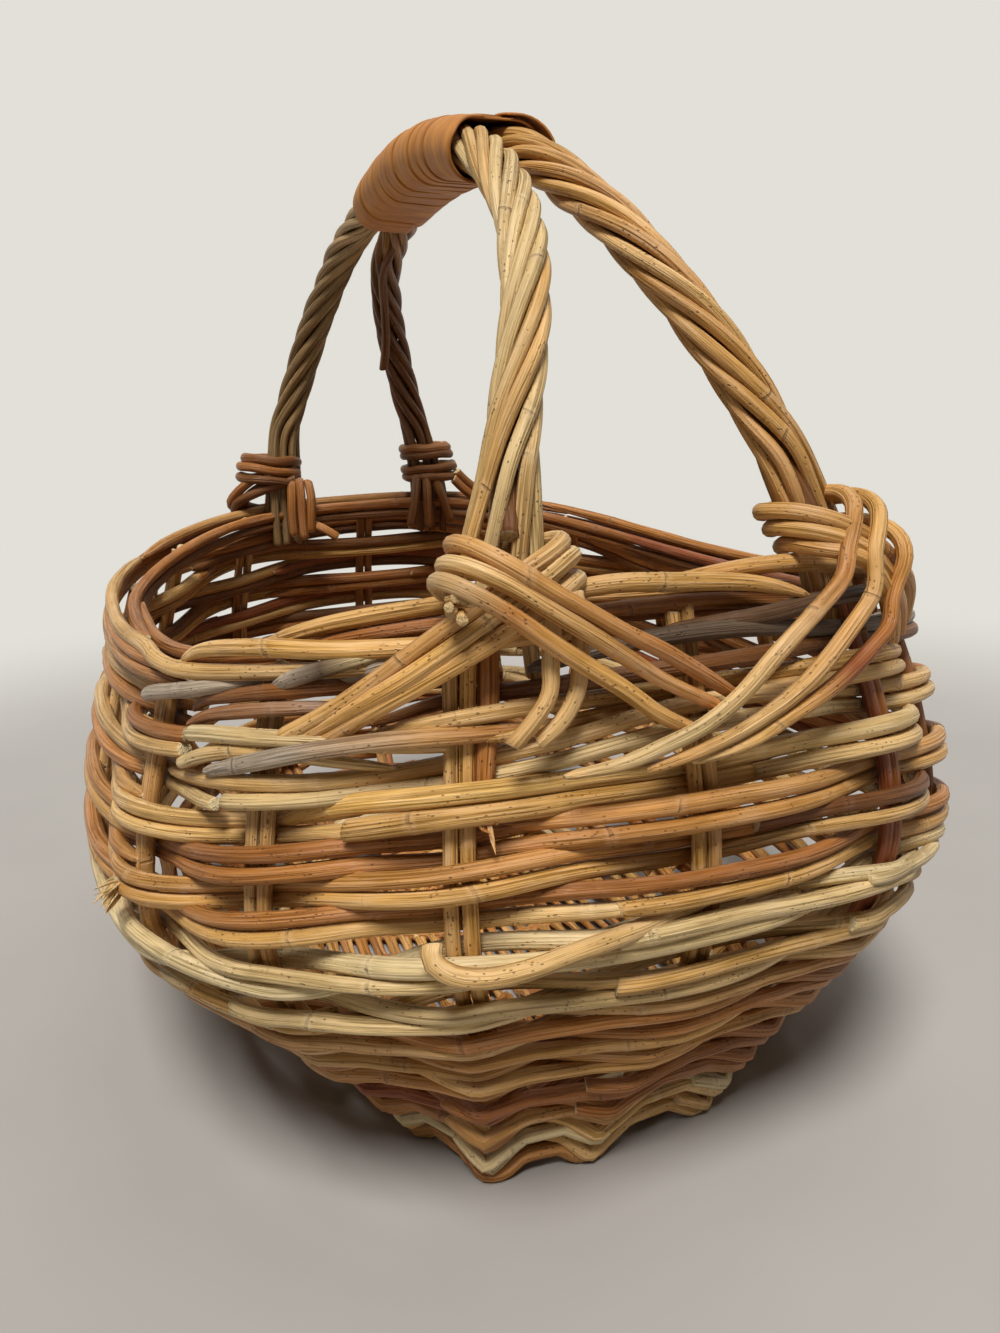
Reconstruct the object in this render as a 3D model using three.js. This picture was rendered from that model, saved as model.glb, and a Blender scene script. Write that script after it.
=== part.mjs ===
// Gathering basket of round rods with a two-bow handle. Millimetres, +Z up.
// The origin is the middle of the underside. +Y runs along the handle.

import * as THREE from 'three';

// Rods and clearances
const rodDiameter = 5;
const waleRodDiameter = 5.4;
const touchGap = 0.3;
const bendAllowance = 0.2;

// Outline of the wall, as half sizes of rounded rectangles at three heights
const baseHalfX = 70;
const baseHalfY = 131;
const bellyHalfX = 159;
const bellyHalfY = 189;
const rimHalfX = 140;
const rimHalfY = 170;
const bellyHeight = 125;
const rimAboveBorder = 6.8;
const cornerPower = 2.6;
const flareAtBase = 0.68;
const drawInAtRim = 1.1;
const endDip = 24;

// Base
const baseThickness = 8;
const baseEdgeOverhang = 4;
const baseChamfer = 2;
const baseSpokes = 32;
const baseWeaveRings = 8;
const baseWeavePitch = 8;
const baseWeaveRelief = 2.5;
const stakeSeatHalf = 3.5;

// Uprights, set two by two
const stakeCount = 16;
const stakeFlatHalf = 7.5;
const handleStakeFlatHalf = 12;
const stakeBelowBorderTop = 1.5;

// Rows of rods woven round the uprights
const waleRowCount = 9;
const firstWaleHeight = 13.5;
const waleRowHeight = 10.6;
const weaverRowCount = 7;
const firstWeaverRise = 1;
const rowValleyDepth = 1.7;

// Handle: two bows that part at the feet and lie side by side in the grip
const bundleRadius = 8;
const bowSides = 8;
const bowSteps = 44;
const bowEndRow = 3;
const footRise = 18;
const nearFootX = 49.5;
const nearFootInset = 4;
const farFootX = 45;
const farFootInset = 3;
const flareAboveStake = 2.5;
const flareBelowFoot = 3;
const gripHeight = 341;
const gripArch = 5;
const gripHalfLength = 70;
const gripOffsetX = -9;

// Bend of each leg, as lengths in X, along Y and in height: how it leaves its foot, and how it
// meets the grip, where X and height are from the end of the grip and Y is from the foot
const nearLegFromFoot = [-8.7, -21, 39];
const nearLegToGrip = [7.15, -13, -40];
const farLegFromFoot = [-19.6, -4, 59];
const farLegToGrip = [7.95, -44, -12];

// Binding of the grip: one flat strip
const wrapLength = 131;
const wrapTurns = 12;
const wrapThickness = 2.2;
const wrapTurnGap = 0.6;
const wrapCornerSteps = 6;

// Ties of the feet
const tieBandRods = 3;
const tieLoops = 3;
const tieLoopGap = 0.6;
const tieLoopSteps = 12;
const tieBandSteps = 48;
const farTieRise = 22;
const tieTailDrop = 21;
const tieTailStraight = 12;

// How far down from the foot towards the bow's end a near tie goes round it, and its slack there
const nearTieDownShare = 0.38;
const nearTieSlack = 3.2;

// The ends of a near tie on the wall, as [distance from the leg, height above the rim, lift off
// the rows], and its way round the leg, as [degrees, rise, slack], first inside, then over itself
const nearLeftTie = {
  start: [[52, -26, 0], [34, -12, 0], [15, -1, 2]],
  round: [[-10, -1, 2], [45, 2, 2], [90, 2, 3], [180, -1, 0], [260, 4, 2]],
  over: [[312, 5, 2], [366, -5, 1]],
  end: [[22, -10, 5], [34, -19, 2.5], [42, -25, 0]],
};
const nearRightTie = {
  start: [[38, -17, 2], [26, -5, 3], [12, 3, 4]],
  round: [[-10, 3, 3], [45, 5, 4], [90, 5, 4], [180, 5, 1], [260, 10, 2]],
  over: [[315, 9, 2], [358, -7, 2]],
  end: [[14, -18, 5], [28, -28, 3.5], [44, -36, 3], [60, -41, 2.5], [74, -44, 2]],
};

// Colours of the rods
const straw = 0xd8b77a;
const honey = 0xc9a165;
const brown = 0xa06e45;
const russet = 0x8a5233;
const bark = 0xa66a3a;

// Derived sizes
const pairHalfHeight = rodDiameter;
const rowPitch = 2 * pairHalfHeight + 2 * touchGap;
const rowOffset = rodDiameter + touchGap + bendAllowance;
const waleOffset = (rodDiameter + waleRodDiameter) / 2 + touchGap + bendAllowance;
const firstWeaverHeight = bellyHeight + firstWeaverRise;
const lastWeaverHeight = firstWeaverHeight + (weaverRowCount - 1) * rowPitch;
const borderHeight = lastWeaverHeight + rowPitch;
const rimHeight = borderHeight + rimAboveBorder;
const stakeTop = borderHeight + pairHalfHeight - stakeBelowBorderTop;
const footHeight = rimHeight + footRise;
const nearFootY = rimHalfY - nearFootInset;
const farFootY = rimHalfY - farFootInset;
const overWall = rowOffset + rodDiameter + touchGap;
const bowCentreX = bundleRadius + touchGap / 2;
const tieTailEnd = rimHeight - tieTailDrop;

const fullTurn = 2 * Math.PI;
const stakeAngles = Array.from({ length: stakeCount }, (_, k) => (k * fullTurn) / stakeCount);
const handleStakes = {
  near_left: nearestStake(247.5),
  near_right: nearestStake(292.5),
  far_left: nearestStake(112.5),
  far_right: nearestStake(67.5),
};

function nearestStake(degrees) {
  return Math.round((degrees / 360) * stakeCount) % stakeCount;
}

function signedPower(value, power) {
  return Math.sign(value) * Math.pow(Math.abs(value), power);
}

// Half size of the wall at a height: out from the base, upright at the belly, in to the rim.
// The two slopes are shares of the straight slope of that part of the wall.
function halfSize(height, base, belly, rim) {
  if (height < bellyHeight) {
    const rise = Math.max(height, 0) / bellyHeight;
    const start = flareAtBase * rise * Math.pow(1 - rise, 2);
    return base + (belly - base) * (start + rise * rise * (3 - 2 * rise));
  }
  const rise = (height - bellyHeight) / (rimHeight - bellyHeight);
  const share = rise * rise * (3 - drawInAtRim + (drawInAtRim - 2) * rise);
  return belly - (belly - rim) * share;
}

// A point on the middle surface of the wall. Rows dip towards the two ends in X.
function wallPoint(angle, height) {
  const c = Math.cos(angle);
  const s = Math.sin(angle);
  const x = halfSize(height, baseHalfX, bellyHalfX, rimHalfX) * signedPower(c, 2 / cornerPower);
  const y = halfSize(height, baseHalfY, bellyHalfY, rimHalfY) * signedPower(s, 2 / cornerPower);
  const dip = endDip * Math.min(1, height / bellyHeight) * c * c;
  return new THREE.Vector3(x, y, height - dip);
}

// The wall's directions at a point: along the row, up the wall and straight out of it
function wallFrame(angle, height) {
  const step = 0.02;
  const centre = wallPoint(angle, height);
  const along = wallPoint(angle + step, height).sub(wallPoint(angle - step, height)).normalize();
  const rise = wallPoint(angle, height + 1).sub(wallPoint(angle, height - 1)).normalize();
  const outward = new THREE.Vector3().crossVectors(along, rise).normalize();
  const up = new THREE.Vector3().crossVectors(outward, along).normalize();
  return { centre, along, up, outward };
}

// The angle at which the wall passes a given X on the near or far side
function angleAtX(x, height, side) {
  const share = x / halfSize(height, baseHalfX, bellyHalfX, rimHalfX);
  const c = signedPower(share, cornerPower / 2);
  return side * Math.acos(THREE.MathUtils.clamp(c, -1, 1));
}

// One closed solid through a list of sections, each a ring of points
function loft(rings, closed) {
  const count = rings[0].length;
  const points = rings.flat();
  const faces = [];
  const last = closed ? rings.length : rings.length - 1;
  for (let i = 0; i < last; i += 1) {
    const a = i * count;
    const b = ((i + 1) % rings.length) * count;
    for (let j = 0; j < count; j += 1) {
      const k = (j + 1) % count;
      faces.push(a + j, b + j, b + k);
      faces.push(a + j, b + k, a + k);
    }
  }
  if (!closed) {
    const end = (rings.length - 1) * count;
    for (let j = 1; j < count - 1; j += 1) {
      faces.push(0, j, j + 1);
      faces.push(end, end + j + 1, end + j);
    }
  }
  if (signedVolume(points, faces) < 0) {
    for (let f = 0; f < faces.length; f += 3) {
      [faces[f + 1], faces[f + 2]] = [faces[f + 2], faces[f + 1]];
    }
  }
  const geometry = new THREE.BufferGeometry();
  const flat = points.flatMap((p) => [p.x, p.y, p.z]);
  geometry.setAttribute('position', new THREE.Float32BufferAttribute(flat, 3));
  geometry.setIndex(faces);
  geometry.computeVertexNormals();
  return geometry;
}

function signedVolume(points, faces) {
  let sum = 0;
  const cross = new THREE.Vector3();
  for (let f = 0; f < faces.length; f += 3) {
    cross.crossVectors(points[faces[f + 1]], points[faces[f + 2]]);
    sum += points[faces[f]].dot(cross);
  }
  return sum / 6;
}

// A section at a centre, drawn from [side, out] pairs along two directions
function section(centre, side, out, outline) {
  return outline.map(([a, b]) => centre.clone().addScaledVector(side, a).addScaledVector(out, b));
}

// Outline of rods that lie against each other in one layer
function layerOutline(halfWidth, halfThickness) {
  const shoulder = halfWidth - halfThickness;
  return [
    [halfWidth, 0],
    [shoulder, halfThickness],
    [-shoulder, halfThickness],
    [-halfWidth, 0],
    [-shoulder, -halfThickness],
    [shoulder, -halfThickness],
  ];
}

// Outline of two rods, one above the other, with a valley between them on both faces
function pairOutline(halfWidth, halfThickness) {
  const crest = halfWidth / 2;
  const valley = halfThickness - rowValleyDepth;
  return [
    [halfWidth, 0],
    [crest, halfThickness],
    [0, valley],
    [-crest, halfThickness],
    [-halfWidth, 0],
    [-crest, -halfThickness],
    [0, -valley],
    [crest, -halfThickness],
  ];
}

function roundOutline(radius, sides) {
  return Array.from({ length: sides }, (_, k) => {
    const turn = (k * fullTurn) / sides;
    return [radius * Math.cos(turn), radius * Math.sin(turn)];
  });
}

// Sections square to a path, turned as little as possible from one to the next
function sweepRings(path, outlineAt) {
  const tangents = path.map((p, i) => {
    const before = path[Math.max(i - 1, 0)];
    const after = path[Math.min(i + 1, path.length - 1)];
    return after.clone().sub(before).normalize();
  });
  const side = new THREE.Vector3(1, 0, 0);
  return path.map((p, i) => {
    side.addScaledVector(tangents[i], -side.dot(tangents[i])).normalize();
    const out = new THREE.Vector3().crossVectors(tangents[i], side);
    return section(p, side, out, outlineAt(i));
  });
}

// Sections whose flat side faces a given direction at each point of the path
function facingRings(path, facings, outline) {
  return path.map((p, i) => {
    const before = path[Math.max(i - 1, 0)];
    const after = path[Math.min(i + 1, path.length - 1)];
    const tangent = after.clone().sub(before).normalize();
    const side = new THREE.Vector3().crossVectors(tangent, facings[i]).normalize();
    const out = new THREE.Vector3().crossVectors(side, tangent).normalize();
    return section(p, side, out, outline);
  });
}

function flatHalf(stake) {
  return Object.values(handleStakes).includes(stake) ? handleStakeFlatHalf : stakeFlatHalf;
}

// A row that passes each upright straight, in front or behind, and bends between them.
// passing gives the offset at an upright, and bendSteps the points between two uprights.
function rowRings(height, passing, bendSteps, outline) {
  const rings = [];
  for (let k = 0; k < stakeCount; k += 1) {
    const frame = wallFrame(stakeAngles[k], height);
    const half = flatHalf(k);
    for (const shift of [-half, half]) {
      const centre = frame.centre.clone();
      centre.addScaledVector(frame.along, shift).addScaledVector(frame.outward, passing(k));
      rings.push(section(centre, frame.up, frame.outward, outline));
    }
    const next = (k + 1) % stakeCount;
    for (let b = 1; b <= bendSteps; b += 1) {
      const share = b / (bendSteps + 1);
      const between = wallFrame(stakeAngles[k] + (share * fullTurn) / stakeCount, height);
      const offset = passing(k) * (1 - share) + passing(next) * share;
      const centre = between.centre.clone().addScaledVector(between.outward, offset);
      rings.push(section(centre, between.up, between.outward, outline));
    }
  }
  return rings;
}

function alternating(row, offset) {
  return (stake) => ((stake + row) % 2 === 0 ? offset : -offset);
}

// Heights of the lower rows, evenly spaced up the slope of the near side
function waleHeights() {
  const squeeze = 1 - endDip / bellyHeight;
  const top = firstWeaverHeight - (pairHalfHeight + waleRowHeight / 2 + touchGap) / squeeze;
  const steps = 200;
  const lengths = [0];
  const heights = [firstWaleHeight];
  for (let i = 1; i <= steps; i += 1) {
    const height = firstWaleHeight + ((top - firstWaleHeight) * i) / steps;
    const run = wallPoint(-Math.PI / 2, height).distanceTo(wallPoint(-Math.PI / 2, heights[i - 1]));
    heights.push(height);
    lengths.push(lengths[i - 1] + run);
  }
  return Array.from({ length: waleRowCount }, (_, row) => {
    const target = (lengths[steps] * row) / (waleRowCount - 1);
    return heights[lengths.findIndex((length) => length >= target - 1e-9)];
  });
}

function weaverHeights() {
  return Array.from({ length: weaverRowCount }, (_, row) => firstWeaverHeight + row * rowPitch);
}

const basket = new THREE.Group();

function addPiece(name, geometry, color, roughness = 0.6) {
  const material = new THREE.MeshStandardMaterial({ color, roughness, metalness: 0 });
  const mesh = new THREE.Mesh(geometry, material);
  mesh.name = name;
  basket.add(mesh);
}

// Base: flat below, with a softened edge and a flat seat for the uprights. Inside the seat, rings
// of weaving pass over and under the spokes in turn, round a flat heart.
function buildBase() {
  const outline = (grow, heightAt) => Array.from({ length: baseSpokes }, (_, k) => {
    const angle = (k * fullTurn) / baseSpokes;
    const x = (baseHalfX + grow) * signedPower(Math.cos(angle), 2 / cornerPower);
    const y = (baseHalfY + grow) * signedPower(Math.sin(angle), 2 / cornerPower);
    return new THREE.Vector3(x, y, heightAt(k));
  });
  const inner = baseEdgeOverhang - baseChamfer;
  const rings = [
    outline(inner, () => 0),
    outline(baseEdgeOverhang, () => baseChamfer),
    outline(baseEdgeOverhang, () => baseThickness - baseChamfer),
    outline(inner, () => baseThickness),
    outline(-stakeSeatHalf, () => baseThickness),
  ];
  for (let ring = 1; ring <= baseWeaveRings; ring += 1) {
    const heart = ring === baseWeaveRings;
    const under = (k) => (heart ? 0 : (ring + k) % 2);
    const inset = stakeSeatHalf + ring * baseWeavePitch;
    rings.push(outline(-inset, (k) => baseThickness - baseWeaveRelief * under(k)));
  }
  addPiece('base_weave', loft(rings, false), honey, 0.7);
}

// Uprights: pairs of rods side by side that stand on the edge of the base
function buildStakes(lowerRows, upperRows) {
  const outline = layerOutline(rodDiameter, rodDiameter / 2);
  const foot = baseThickness + touchGap + rodDiameter / 2;
  const belly = [-1, 0, 1].map((step) => firstWeaverHeight + step * pairHalfHeight);
  const upper = upperRows.filter((_, row) => row > 0 && row % 2 === 0);
  const heights = [foot, ...lowerRows, ...belly, ...upper, stakeTop];
  stakeAngles.forEach((angle, k) => {
    const rings = heights.map((height) => {
      const frame = wallFrame(angle, height);
      return section(frame.centre, frame.along, frame.outward, outline);
    });
    const number = String(k + 1).padStart(2, '0');
    addPiece(`stake_pair_${number}`, loft(rings, false), k % 3 === 1 ? brown : honey);
  });
}

// Lower rows, of thicker rods
function buildWaleRows(heights) {
  const outline = layerOutline(waleRowHeight / 2, waleRodDiameter / 2);
  heights.forEach((height, row) => {
    const rings = rowRings(height, alternating(row + 1, waleOffset), 0, outline);
    addPiece(`wale_row_${row + 1}`, loft(rings, true), row % 3 === 2 ? brown : straw);
  });
}

// Upper rows, each two rods one above the other
function buildWeaverRows(heights) {
  const outline = pairOutline(pairHalfHeight, rodDiameter / 2);
  heights.forEach((height, row) => {
    const rings = rowRings(height, alternating(row, rowOffset), 1, outline);
    addPiece(`weaver_row_${row + 1}`, loft(rings, true), row % 2 === 0 ? brown : straw);
  });
}

// Border: rods outside and inside the tops of the uprights
function buildBorder() {
  const outline = pairOutline(pairHalfHeight, rodDiameter / 2);
  const outer = rowRings(borderHeight, () => rowOffset, 1, outline);
  const inner = rowRings(borderHeight, () => -rowOffset, 1, outline);
  addPiece('border_outer_rods', loft(outer, true), honey);
  addPiece('border_inner_rods', loft(inner, true), russet);
}

// A place beside a handle upright, on the side of the handle, where a bow end goes down
function bowEndPoint(stake, side, height) {
  const frame = wallFrame(stakeAngles[stake], height);
  const beside = 1.5 * rodDiameter + touchGap + bendAllowance;
  const inward = frame.along.x * side > 0 ? -beside : beside;
  return frame.centre.addScaledVector(frame.along, inward);
}

function bowEndPath(stake, side, upperRows) {
  const heights = [...upperRows.slice(bowEndRow - 1), stakeTop];
  return heights.map((height) => bowEndPoint(stake, side, height));
}

// The grip stands off the middle, and each leg leans over to it on the way up
function legCurve(side, direction, foot, fromFoot, toGrip) {
  const gripEnd = [bowCentreX, gripHalfLength, gripHeight];
  const place = (start, reach, lean) => {
    const [x, y, z] = start.map((value, axis) => value + reach[axis]);
    return new THREE.Vector3(side * x + lean * gripOffsetX, direction * y, z);
  };
  return new THREE.CubicBezierCurve3(
    place(foot, [0, 0, 0], 0),
    place(foot, fromFoot, 0.3),
    place([gripEnd[0], foot[1], gripEnd[2]], toGrip, 0.8),
    place(gripEnd, [0, 0, 0], 1),
  );
}

function nearLeg(side) {
  const foot = [nearFootX, nearFootY, footHeight];
  return legCurve(side, -1, foot, nearLegFromFoot, nearLegToGrip);
}

function farLeg(side) {
  const foot = [farFootX, farFootY, footHeight];
  return legCurve(side, 1, foot, farLegFromFoot, farLegToGrip);
}

function gripLine(y) {
  const rise = gripArch * (1 - Math.pow(y / gripHalfLength, 2));
  return new THREE.Vector3(gripOffsetX, y, gripHeight + rise);
}

// One bow: from the weave up one leg, along the grip and down the other leg
function buildBow(name, side, nearStake, farStake, upperRows, color) {
  const nearEnd = bowEndPath(nearStake, side, upperRows);
  const farEnd = bowEndPath(farStake, side, upperRows).reverse();
  const gripShares = [-0.85, -0.6, -0.3, 0, 0.3, 0.6, 0.85];
  const grip = gripShares.map((share) => {
    const point = gripLine(share * gripHalfLength);
    point.x += side * bowCentreX;
    return point;
  });
  const legPoints = 5;
  const shape = [
    nearEnd[nearEnd.length - 1],
    ...nearLeg(side).getPoints(legPoints),
    ...grip,
    ...farLeg(side).getPoints(legPoints).reverse(),
    farEnd[0],
  ];
  const bow = new THREE.CatmullRomCurve3(shape, false, 'centripetal');
  const path = [...nearEnd, ...bow.getSpacedPoints(bowSteps).slice(1, -1), ...farEnd];
  const flareStart = stakeTop + flareAboveStake;
  const flareEnd = footHeight - flareBelowFoot;
  const radiusAt = (i) => {
    const rise = (path[i].z - flareStart) / (flareEnd - flareStart);
    const share = THREE.MathUtils.clamp(rise, 0, 1);
    return rodDiameter / 2 + (bundleRadius - rodDiameter / 2) * share;
  };
  const rings = sweepRings(path, (i) => roundOutline(radiusAt(i), bowSides));
  addPiece(name, loft(rings, false), color);
}

// Grip binding: one flat strip wound round both bows
function buildGripWrap() {
  const pitch = wrapLength / (wrapTurns + 1);
  const halfWidth = (pitch - wrapTurnGap) / 2;
  const arc = Math.PI / wrapCornerSteps;
  const inner = (bundleRadius + touchGap) / Math.cos(arc / 2);
  const outer = inner + wrapThickness;
  const corners = [];
  for (const side of [1, -1]) {
    for (let k = 0; k <= wrapCornerSteps; k += 1) {
      const turn = (side > 0 ? -Math.PI / 2 : Math.PI / 2) + k * arc;
      corners.push({ side, x: Math.cos(turn), z: Math.sin(turn) });
    }
  }
  const total = wrapTurns * corners.length;
  const rings = [];
  for (let i = 0; i <= total; i += 1) {
    const corner = corners[i % corners.length];
    const y = (i / total - 0.5) * pitch * wrapTurns;
    const ring = [[-1, inner], [1, inner], [1, outer], [-1, outer]].map(([edge, reach]) => {
      const point = gripLine(y + edge * halfWidth);
      point.x += corner.side * bowCentreX + corner.x * reach;
      point.z += corner.z * reach;
      return point;
    });
    rings.push(ring);
  }
  addPiece('grip_wrap', loft(rings, false), bark, 0.5);
}

// A far leg at the height of its tie
function farTieFrame(side) {
  const curve = farLeg(side);
  const samples = 60;
  const points = curve.getPoints(samples);
  const centre = points.find((p) => p.z >= rimHeight + farTieRise) ?? points[0];
  return legFrame(centre, curve.getTangent(points.indexOf(centre) / samples).normalize(), 1);
}

// A near bow between its foot and its end, where its tie lies level
function nearTieFrame(side, stake) {
  const foot = new THREE.Vector3(side * nearFootX, -nearFootY, footHeight);
  const centre = foot.lerp(bowEndPoint(stake, side, stakeTop), nearTieDownShare);
  return legFrame(centre, new THREE.Vector3(0, 0, 1), -1);
}

// Directions round a leg: its axis, straight out of the basket, and sideways
function legFrame(centre, axis, direction) {
  const out = new THREE.Vector3(0, direction, 0);
  out.addScaledVector(axis, -out.dot(axis)).normalize();
  const across = new THREE.Vector3().crossVectors(out, axis).normalize();
  if (across.x < 0) across.negate();
  return { centre, axis, out, across };
}

function aroundLeg(leg, degrees, reach, rise) {
  const turn = THREE.MathUtils.degToRad(degrees);
  const facing = new THREE.Vector3();
  facing.addScaledVector(leg.out, Math.cos(turn)).addScaledVector(leg.across, Math.sin(turn));
  const point = leg.centre.clone().addScaledVector(facing, reach).addScaledVector(leg.axis, rise);
  return { point, facing };
}

function onWall(x, height, direction, offset) {
  const frame = wallFrame(angleAtX(x, height, direction), height);
  const facing = frame.outward.clone().multiplyScalar(Math.sign(offset));
  return { point: frame.centre.addScaledVector(frame.outward, offset), facing };
}

function tieRings(stops, outline) {
  const curve = new THREE.CatmullRomCurve3(stops.map((s) => s.point), false, 'centripetal');
  const path = curve.getPoints(tieBandSteps);
  const facings = path.map((_, i) => {
    const place = (i / tieBandSteps) * (stops.length - 1);
    const index = Math.min(Math.floor(place), stops.length - 2);
    return stops[index].facing.clone().lerp(stops[index + 1].facing, place - index).normalize();
  });
  return facingRings(path, facings, outline);
}

// Near ties: a band of rods from the wall, once round the leg and down across itself
function buildNearTie(name, side, stake, tie, color) {
  const leg = nearTieFrame(side, stake);
  const halfWidth = (tieBandRods * rodDiameter) / 2;
  const inside = bundleRadius + touchGap + rodDiameter / 2 + nearTieSlack;
  const outside = inside + rodDiameter + 2 * touchGap;
  const besideLeg = (direction) => ([distance, rise, lift]) => {
    const x = side * (nearFootX + direction * distance);
    return onWall(x, rimHeight + rise, -1, overWall + lift);
  };
  const roundLeg = (reach) => ([degrees, rise, slack]) => {
    return aroundLeg(leg, -side * degrees, reach + slack, rise);
  };
  const stops = [
    ...tie.start.map(besideLeg(1)),
    ...tie.round.map(roundLeg(inside)),
    ...tie.over.map(roundLeg(outside)),
    ...tie.end.map(besideLeg(-1)),
  ];
  const rings = tieRings(stops, layerOutline(halfWidth, rodDiameter / 2));
  addPiece(name, loft(rings, false), color);
}

// Far ties: one rod up the outside, round the leg and down the inside
function buildFarTie(name, side, color) {
  const leg = farTieFrame(side);
  const reach = (bundleRadius + touchGap + rodDiameter / 2) / Math.cos(Math.PI / tieLoopSteps);
  const outside = reach + rodDiameter + tieLoopGap;
  const pitch = rodDiameter + tieLoopGap;
  const low = (-pitch * tieLoops) / 2;
  const tail = [tieTailEnd, tieTailEnd + tieTailStraight, rimHeight];
  const tailPoints = (offset) => tail.map((height) => {
    return onWall(side * farFootX, height, 1, offset).point;
  });
  const path = tailPoints(overWall);
  const loopCount = (tieLoops + 0.5) * tieLoopSteps;
  for (let i = 1; i <= loopCount; i += 1) {
    const turns = i / tieLoopSteps;
    path.push(aroundLeg(leg, side * 360 * turns, reach, low + pitch * turns).point);
  }
  const inside = 180;
  path.push(aroundLeg(leg, inside, outside, low + pitch * tieLoops).point);
  path.push(aroundLeg(leg, inside, outside, low - pitch / 2).point);
  path.push(...tailPoints(-overWall).reverse());
  const rings = sweepRings(path, () => roundOutline(rodDiameter / 2, 6));
  addPiece(name, loft(rings, false), color);
}

const lowerRows = waleHeights();
const upperRows = weaverHeights();

buildBase();
buildStakes(lowerRows, upperRows);
buildWaleRows(lowerRows);
buildWeaverRows(upperRows);
buildBorder();
buildBow('bow_left', -1, handleStakes.near_left, handleStakes.far_left, upperRows, straw);
buildBow('bow_right', 1, handleStakes.near_right, handleStakes.far_right, upperRows, honey);
buildGripWrap();
buildNearTie('near_left_tie', -1, handleStakes.near_left, nearLeftTie, straw);
buildNearTie('near_right_tie', 1, handleStakes.near_right, nearRightTie, brown);
buildFarTie('far_left_tie', -1, brown);
buildFarTie('far_right_tie', 1, russet);

export default basket;
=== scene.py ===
import math

import bpy
import numpy as np
from mathutils import Matrix


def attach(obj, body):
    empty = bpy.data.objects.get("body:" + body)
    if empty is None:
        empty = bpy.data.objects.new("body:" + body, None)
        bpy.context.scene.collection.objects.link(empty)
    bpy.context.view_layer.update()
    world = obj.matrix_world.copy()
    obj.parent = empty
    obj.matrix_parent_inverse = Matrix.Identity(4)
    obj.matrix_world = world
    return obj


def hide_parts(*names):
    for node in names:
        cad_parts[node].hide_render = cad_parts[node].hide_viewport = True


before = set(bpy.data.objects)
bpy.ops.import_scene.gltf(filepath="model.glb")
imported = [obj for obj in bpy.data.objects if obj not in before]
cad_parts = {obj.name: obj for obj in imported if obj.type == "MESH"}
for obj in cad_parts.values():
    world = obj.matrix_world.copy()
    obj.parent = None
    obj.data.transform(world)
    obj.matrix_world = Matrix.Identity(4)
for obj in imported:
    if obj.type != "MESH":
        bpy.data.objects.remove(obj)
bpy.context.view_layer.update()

mm = 0.001
fullTurn = 2 * math.pi
print("frame loaded:", len(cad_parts), "nodes")

# Camera, fitted to the photograph. Pixels are of its 1000 by 1333 frame.
shot = {
    "place": (-0.1604, -0.4378, 0.2650),
    "yaw": 0.3753,
    "down": 0.2514,
    "roll": 0.0282,
    "focalPixels": 1093.7,
    "frameHeight": 1333,
}

# Colours of the dried cane, as it shows in the photograph
caneColours = {
    "cream": "#DEC693",
    "pale": "#DABB82",
    "straw": "#DBB172",
    "yellow": "#E2B364",
    "honey": "#D5A45C",
    "tan": "#CA9757",
    "copper": "#BC7E3E",
    # Only for painted shade on the far leg of the left bow
    "shadeDun": "#97784C",
    "brown": "#A46830",
    "umber": "#744820",
    "russet": "#8E4C26",
    "grey": "#B6A48E",
    "ash": "#5A4836",
}

# Middle surface of the wall, in millimetres: half sizes in X and Y at three heights, how far it dips
# at the two ends of X, the number of uprights, about how far apart they stand, and the step along a
# row's rods as a share of that
wall = {
    "baseHalf": (70, 131),
    "bellyHalf": (159, 189),
    "rimHalf": (140, 170),
    "bellyHeight": 125,
    "rimHeight": 207,
    "cornerPower": 2.6,
    "flareAtBase": 0.68,
    "drawInAtRim": 1.1,
    "endDip": 24,
    "stakes": 16,
    "stakeGap": 60,
    "placeStep": 0.02,
}


# An sRGB hex colour as the linear values that a shader takes
def hexToLinear(text):
    channels = [int(text[i:i + 2], 16) / 255 for i in (1, 3, 5)]
    return tuple(c / 12.92 if c <= 0.04045 else ((c + 0.055) / 1.055) ** 2.4 for c in channels)


def colourOf(name):
    return np.array(hexToLinear(caneColours[name]))


# Random numbers that are the same in each run for the same names
def makeDraw(*names):
    seed = sum((i + 1) * ord(c) for i, c in enumerate("-".join(map(str, names))))
    return np.random.default_rng(seed)


def unit(vectors):
    return vectors / np.maximum(np.linalg.norm(vectors, axis=-1, keepdims=True), 1e-9)


def signedPower(values, power):
    return np.sign(values) * np.abs(values) ** power


# Shape of the wall

def wallHalf(height, axis):
    base, belly, rim = wall["baseHalf"][axis], wall["bellyHalf"][axis], wall["rimHalf"][axis]
    rise = np.clip(height, 0, None) / wall["bellyHeight"]
    start = wall["flareAtBase"] * rise * (1 - rise) ** 2
    low = base + (belly - base) * (start + rise * rise * (3 - 2 * rise))
    over = (height - wall["bellyHeight"]) / (wall["rimHeight"] - wall["bellyHeight"])
    slope = wall["drawInAtRim"]
    high = belly - (belly - rim) * over * over * (3 - slope + (slope - 2) * over)
    return np.where(height < wall["bellyHeight"], low, high)


def wallPoint(angle, height):
    c, s = np.cos(angle), np.sin(angle)
    power = 2 / wall["cornerPower"]
    dip = wall["endDip"] * np.minimum(1, height / wall["bellyHeight"]) * c * c
    x = wallHalf(height, 0) * signedPower(c, power)
    y = wallHalf(height, 1) * signedPower(s, power)
    return np.stack([x, y, height - dip], -1)


# Place on the wall, and the directions along it, up it and out of it
def wallFrame(angle, height):
    angle, height = np.broadcast_arrays(np.asarray(angle, float), np.asarray(height, float))
    step = 0.02
    along = unit(wallPoint(angle + step, height) - wallPoint(angle - step, height))
    rise = unit(wallPoint(angle, height + 1) - wallPoint(angle, height - 1))
    outward = unit(np.cross(along, rise))
    return wallPoint(angle, height), along, np.cross(outward, along), outward


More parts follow.
